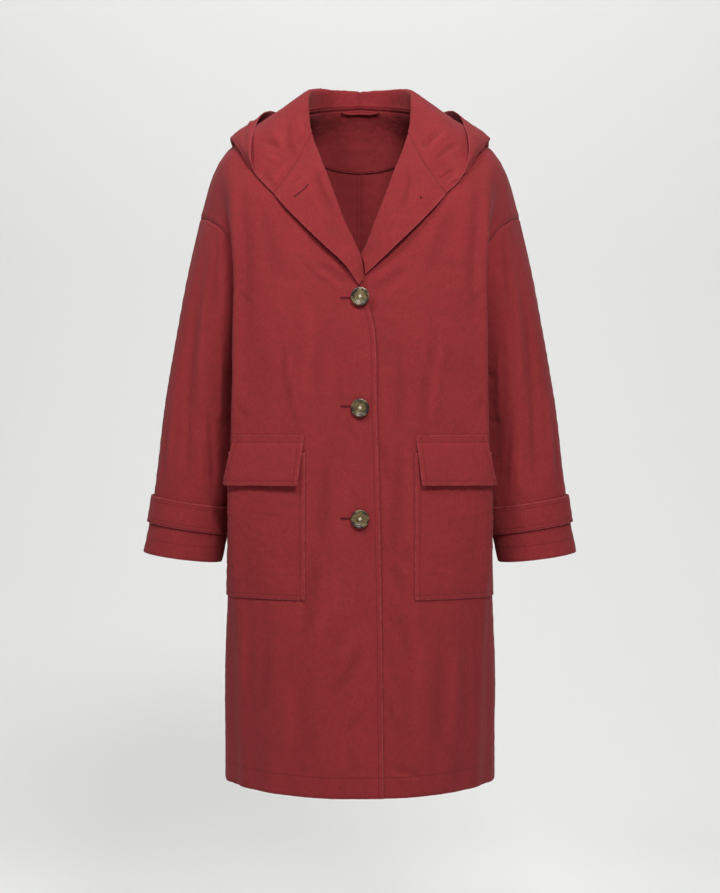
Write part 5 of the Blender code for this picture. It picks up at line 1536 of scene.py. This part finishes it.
def onto_seat(points, seat, face, turn):
    """Points drawn face up on the XY plane, turned about Z, and put on the front: x across, y up,
    z outwards."""
    upward = np.cross(face, (-1.0, 0.0, 0.0))
    upward *= math.copysign(1.0, upward[2])
    points = np.asarray(points, float)
    c, s = math.cos(turn), math.sin(turn)
    points = points @ np.array([(c, s, 0.0), (-s, c, 0.0), (0.0, 0.0, 1.0)])
    return seat + points[:, :1] * (1.0, 0.0, 0.0) + points[:, 1:2] * upward + points[:, 2:] * face


def placed_copy(model, name, seat, face, turn):
    """A copy of a model with its own mesh, moved to its seat in its mesh."""
    made = bpy.data.objects.new(name, model.data.copy())
    bpy.context.scene.collection.objects.link(made)
    points = np.empty(len(made.data.vertices) * 3)
    made.data.vertices.foreach_get("co", points)
    local = points.reshape(-1, 3)
    made.data.vertices.foreach_set("co", onto_seat(local, seat, face, turn).reshape(-1))
    made.data.update()
    write_layer(made, "radius", 1000 * np.linalg.norm(local[:, :2], axis=1))
    return made


def thread_cross(height):
    """Routes of the threads through the four holes, crossed: three strands each way."""
    share = np.linspace(-1, 1, 15)
    arch = np.sin(np.linspace(0, math.pi, 15))
    routes = []
    for layer, (across, up) in enumerate(((1, 1), (1, -1))):
        lift = height + (0.0003 + 0.00035 * layer) * arch - 0.0012 * np.abs(share) ** 6
        for aside in (-STRAND_APART, 0.0, STRAND_APART):
            xs = share * across * HOLE_SPREAD - up * aside
            ys = share * up * HOLE_SPREAD + across * aside
            routes.append(np.stack([xs, ys, lift], axis=1))
    return routes


class COAT_OT_buttons(bpy.types.Operator):
    """Three horn buttons, sewn on with a cross of pale thread through their four holes"""

    bl_idname = "coat.buttons"
    bl_label = "Buttons"

    def execute(self, context):
        shank = context.scene.coat_sizes.shank
        horn = made_once("polished horn", polished_horn)
        pale = made_once("pale sewing thread", spun_thread, from_hex("CFC4A4"))
        model = turned_button()
        # from inside the cloth to inside the button
        stem = [(0, 0, -shank - 0.0006), (0, 0, 0.0004), (0, 0, 0.0024)]
        for number, (seat, face) in enumerate(button_seats(), start=1):
            put = (seat + face * shank, face, math.radians(BUTTON_TURNS[number - 1]))
            dress(placed_copy(model, f"button_{number}_horn", *put), horn, f"button_{number}")
            strands = [
                add_tube(f"button_{number}_strand_{i}", onto_seat(route, *put), STRAND_RADIUS, sides=6)
                for i, route in enumerate(thread_cross(THREAD_LEVEL))
            ]
            strands.append(add_tube(f"button_{number}_stem", onto_seat(stem, *put), STEM_RADIUS, sides=10))
            dress(joined(strands, f"button_{number}_thread"), pale, None)
        bpy.data.objects.remove(model, do_unlink=True)
        return {"FINISHED"}


def joined(objects, name):
    bpy.ops.object.select_all(action="DESELECT")
    for piece in objects:
        piece.select_set(True)
    bpy.context.view_layer.objects.active = objects[0]
    bpy.ops.object.join()
    objects[0].name = name
    return objects[0]


# ---------------------------------------------------------------- buttonholes
def worked_hole(name, cut, start, end, half, material, under=0.0):
    """A worked buttonhole: a ring of close purl stitches round a slit, from one course and column to
    another. It lies on the cut's net, or on its other face, which is the cloth's thickness under it."""
    turn = np.linspace(0, 2 * math.pi, 181)[:-1]
    along = 0.5 - 0.5 * np.cos(turn)
    points, normals = cut.at(
        start[0] + (end[0] - start[0]) * along, start[1] + (end[1] - start[1]) * along)
    way = unit(points[len(turn) // 2] - points[0])
    sideways = unit(np.cross(normals, way))
    bow = np.clip(np.sin(turn) * 3.2, -1, 1)
    lift = -under - HOLE_RISE if under else HOLE_RISE
    route = points + sideways * (bow * half)[:, None] + normals * lift
    radii = PURL + PURL_SWELL * np.sin(turn * PURLS)
    overlap = 3  # points that the ring's end shares with its start
    made = add_tube(name, np.vstack([route, route[:overlap]]), np.append(radii, radii[:overlap]), sides=8)
    return dress(made, material, None)


class COAT_OT_buttonholes(bpy.types.Operator):
    """Worked buttonholes: one beside each button, and one on the lapel"""

    bl_idname = "coat.buttonholes"
    bl_label = "Buttonholes"

    def execute(self, context):
        dark = made_once("buttonhole thread", spun_thread, tuple(context.scene.coat_colours.hole))
        front = coat_cuts(RIGHT)["front"]
        for number, (seat, face) in enumerate(button_seats(), start=1):
            i = int(np.argmin(np.abs(front.net[:, 6, 2] - seat[2]) + (front.courses < UNDER_BREAK_ROW)))
            near, far = np.interp((HOLE_NEAR, HOLE_FAR), front.net[i, :, 0], front.columns)
            ends = ((front.courses[i], near), (front.courses[i], far))
            worked_hole(f"buttonhole_{number}", mirrored(front), *ends, HOLE_HALF, dark)
        lapel = mirrored(coat_cuts(RIGHT)["lapel"])
        worked_hole("buttonhole_lapel", lapel, *LAPEL_HOLE, LAPEL_HOLE_HALF, dark, HOOD_WALL)
        worked_hole("lapel_knot", coat_cuts(LEFT)["lapel"], *LAPEL_KNOT, LAPEL_HOLE_HALF, dark, HOOD_WALL)
        return {"FINISHED"}


def mirrored(cut):
    """The same cut on the coat's other side."""
    return Cut(cut.net * (-1.0, 1.0, 1.0), cut.courses, cut.columns, -cut.sign)


# ---------------------------------------------------------------- the studio
def aimed(made, place, aim):
    """Puts a light or the camera in its place, facing what it is aimed at."""
    made.location = place
    made.rotation_euler = (Vector(aim) - Vector(place)).to_track_quat("-Z", "Y").to_euler()
    bpy.context.scene.collection.objects.link(made)
    return made


class COAT_OT_stage(bpy.types.Operator):
    """Camera at the photograph's angle, plain pale backdrop and soft studio light"""

    bl_idname = "coat.stage"
    bl_label = "Studio"

    def execute(self, context):
        scene = context.scene
        backdrop, _, shader = new_material("matt paper")
        fill(shader, {"Base Color": (*from_hex(BACKDROP), 1.0), "Roughness": 0.95, "Specular IOR Level": 0.1})
        # a sheet of paper that runs on from the floor up the wall in one curve
        profile = [(PAPER_FRONT, FLOOR_LEVEL), (PAPER_FOOT, FLOOR_LEVEL)]
        for turn in np.linspace(0.1, math.pi / 2, 24):
            rise = PAPER_BEND * (1 - math.cos(turn))
            profile.append((PAPER_FOOT + PAPER_BEND * math.sin(turn), FLOOR_LEVEL + rise))
        profile.append((PAPER_FOOT + PAPER_BEND, PAPER_TOP))
        points = [(x, y, z) for y, z in profile for x in (-PAPER_SIDE, PAPER_SIDE)]
        faces = [(2 * i, 2 * i + 1, 2 * i + 3, 2 * i + 2) for i in range(len(profile) - 1)]
        paper = add_mesh("studio_paper", points, faces)
        paper.data.materials.append(backdrop)

        for name, (place, aim, size, power) in LIGHTS.items():
            lamp = bpy.data.lights.new(name, "AREA")
            lamp.shape = "RECTANGLE"
            lamp.size, lamp.size_y = size
            lamp.energy = power
            aimed(bpy.data.objects.new(name, lamp), place, aim)
        scene.world = scene.world or bpy.data.worlds.new("studio")
        scene.world.use_nodes = True
        fill(scene.world.node_tree.nodes["Background"], {"Color": ROOM_TINT, "Strength": ROOM_LIGHT})
        scene.view_settings.view_transform = "Standard"

        lens = bpy.data.cameras.new("camera")
        lens.sensor_fit = "VERTICAL"
        lens.sensor_height = SENSOR_HEIGHT
        lens.lens = SENSOR_HEIGHT * FOCAL_PIXELS / PHOTO_HEIGHT
        lens.clip_end = 60.0
        scene.camera = aimed(bpy.data.objects.new("camera", lens), CAMERA, AIM)
        return {"FINISHED"}


OPERATORS = (
    COAT_OT_panels,
    COAT_OT_hood,
    COAT_OT_pockets,
    COAT_OT_straps,
    COAT_OT_neck,
    COAT_OT_buttons,
    COAT_OT_buttonholes,
    COAT_OT_stage,
)


class COAT_PT_sidebar(bpy.types.Panel):
    """The coat's sizes and colours, and a button for each group of pieces"""

    bl_idname = "COAT_PT_sidebar"
    bl_label = "Hooded Coat"
    bl_space_type = "VIEW_3D"
    bl_region_type = "UI"
    bl_category = "Coat"

    def draw(self, context):
        for group in (context.scene.coat_sizes, context.scene.coat_colours):
            box = self.layout.box()
            for name in group.__annotations__:
                box.prop(group, name)
        for operator in OPERATORS:
            self.layout.operator(operator.bl_idname)


CLASSES = (CoatSizes, CoatColours, *OPERATORS, COAT_PT_sidebar)


def register():
    for cls in CLASSES:
        bpy.utils.register_class(cls)
    bpy.types.Scene.coat_sizes = bpy.props.PointerProperty(type=CoatSizes)
    bpy.types.Scene.coat_colours = bpy.props.PointerProperty(type=CoatColours)


def unregister():
    del bpy.types.Scene.coat_colours
    del bpy.types.Scene.coat_sizes
    for cls in reversed(CLASSES):
        bpy.utils.unregister_class(cls)


def corners(bounds):
    return [[float(value) for value in corner] for corner in bounds]


def main():
    register()
    for operator in OPERATORS:
        group, name = operator.bl_idname.split(".")
        getattr(getattr(bpy.ops, group), name)()
    bpy.context.view_layer.update()


if __name__ == "__main__":
    main()
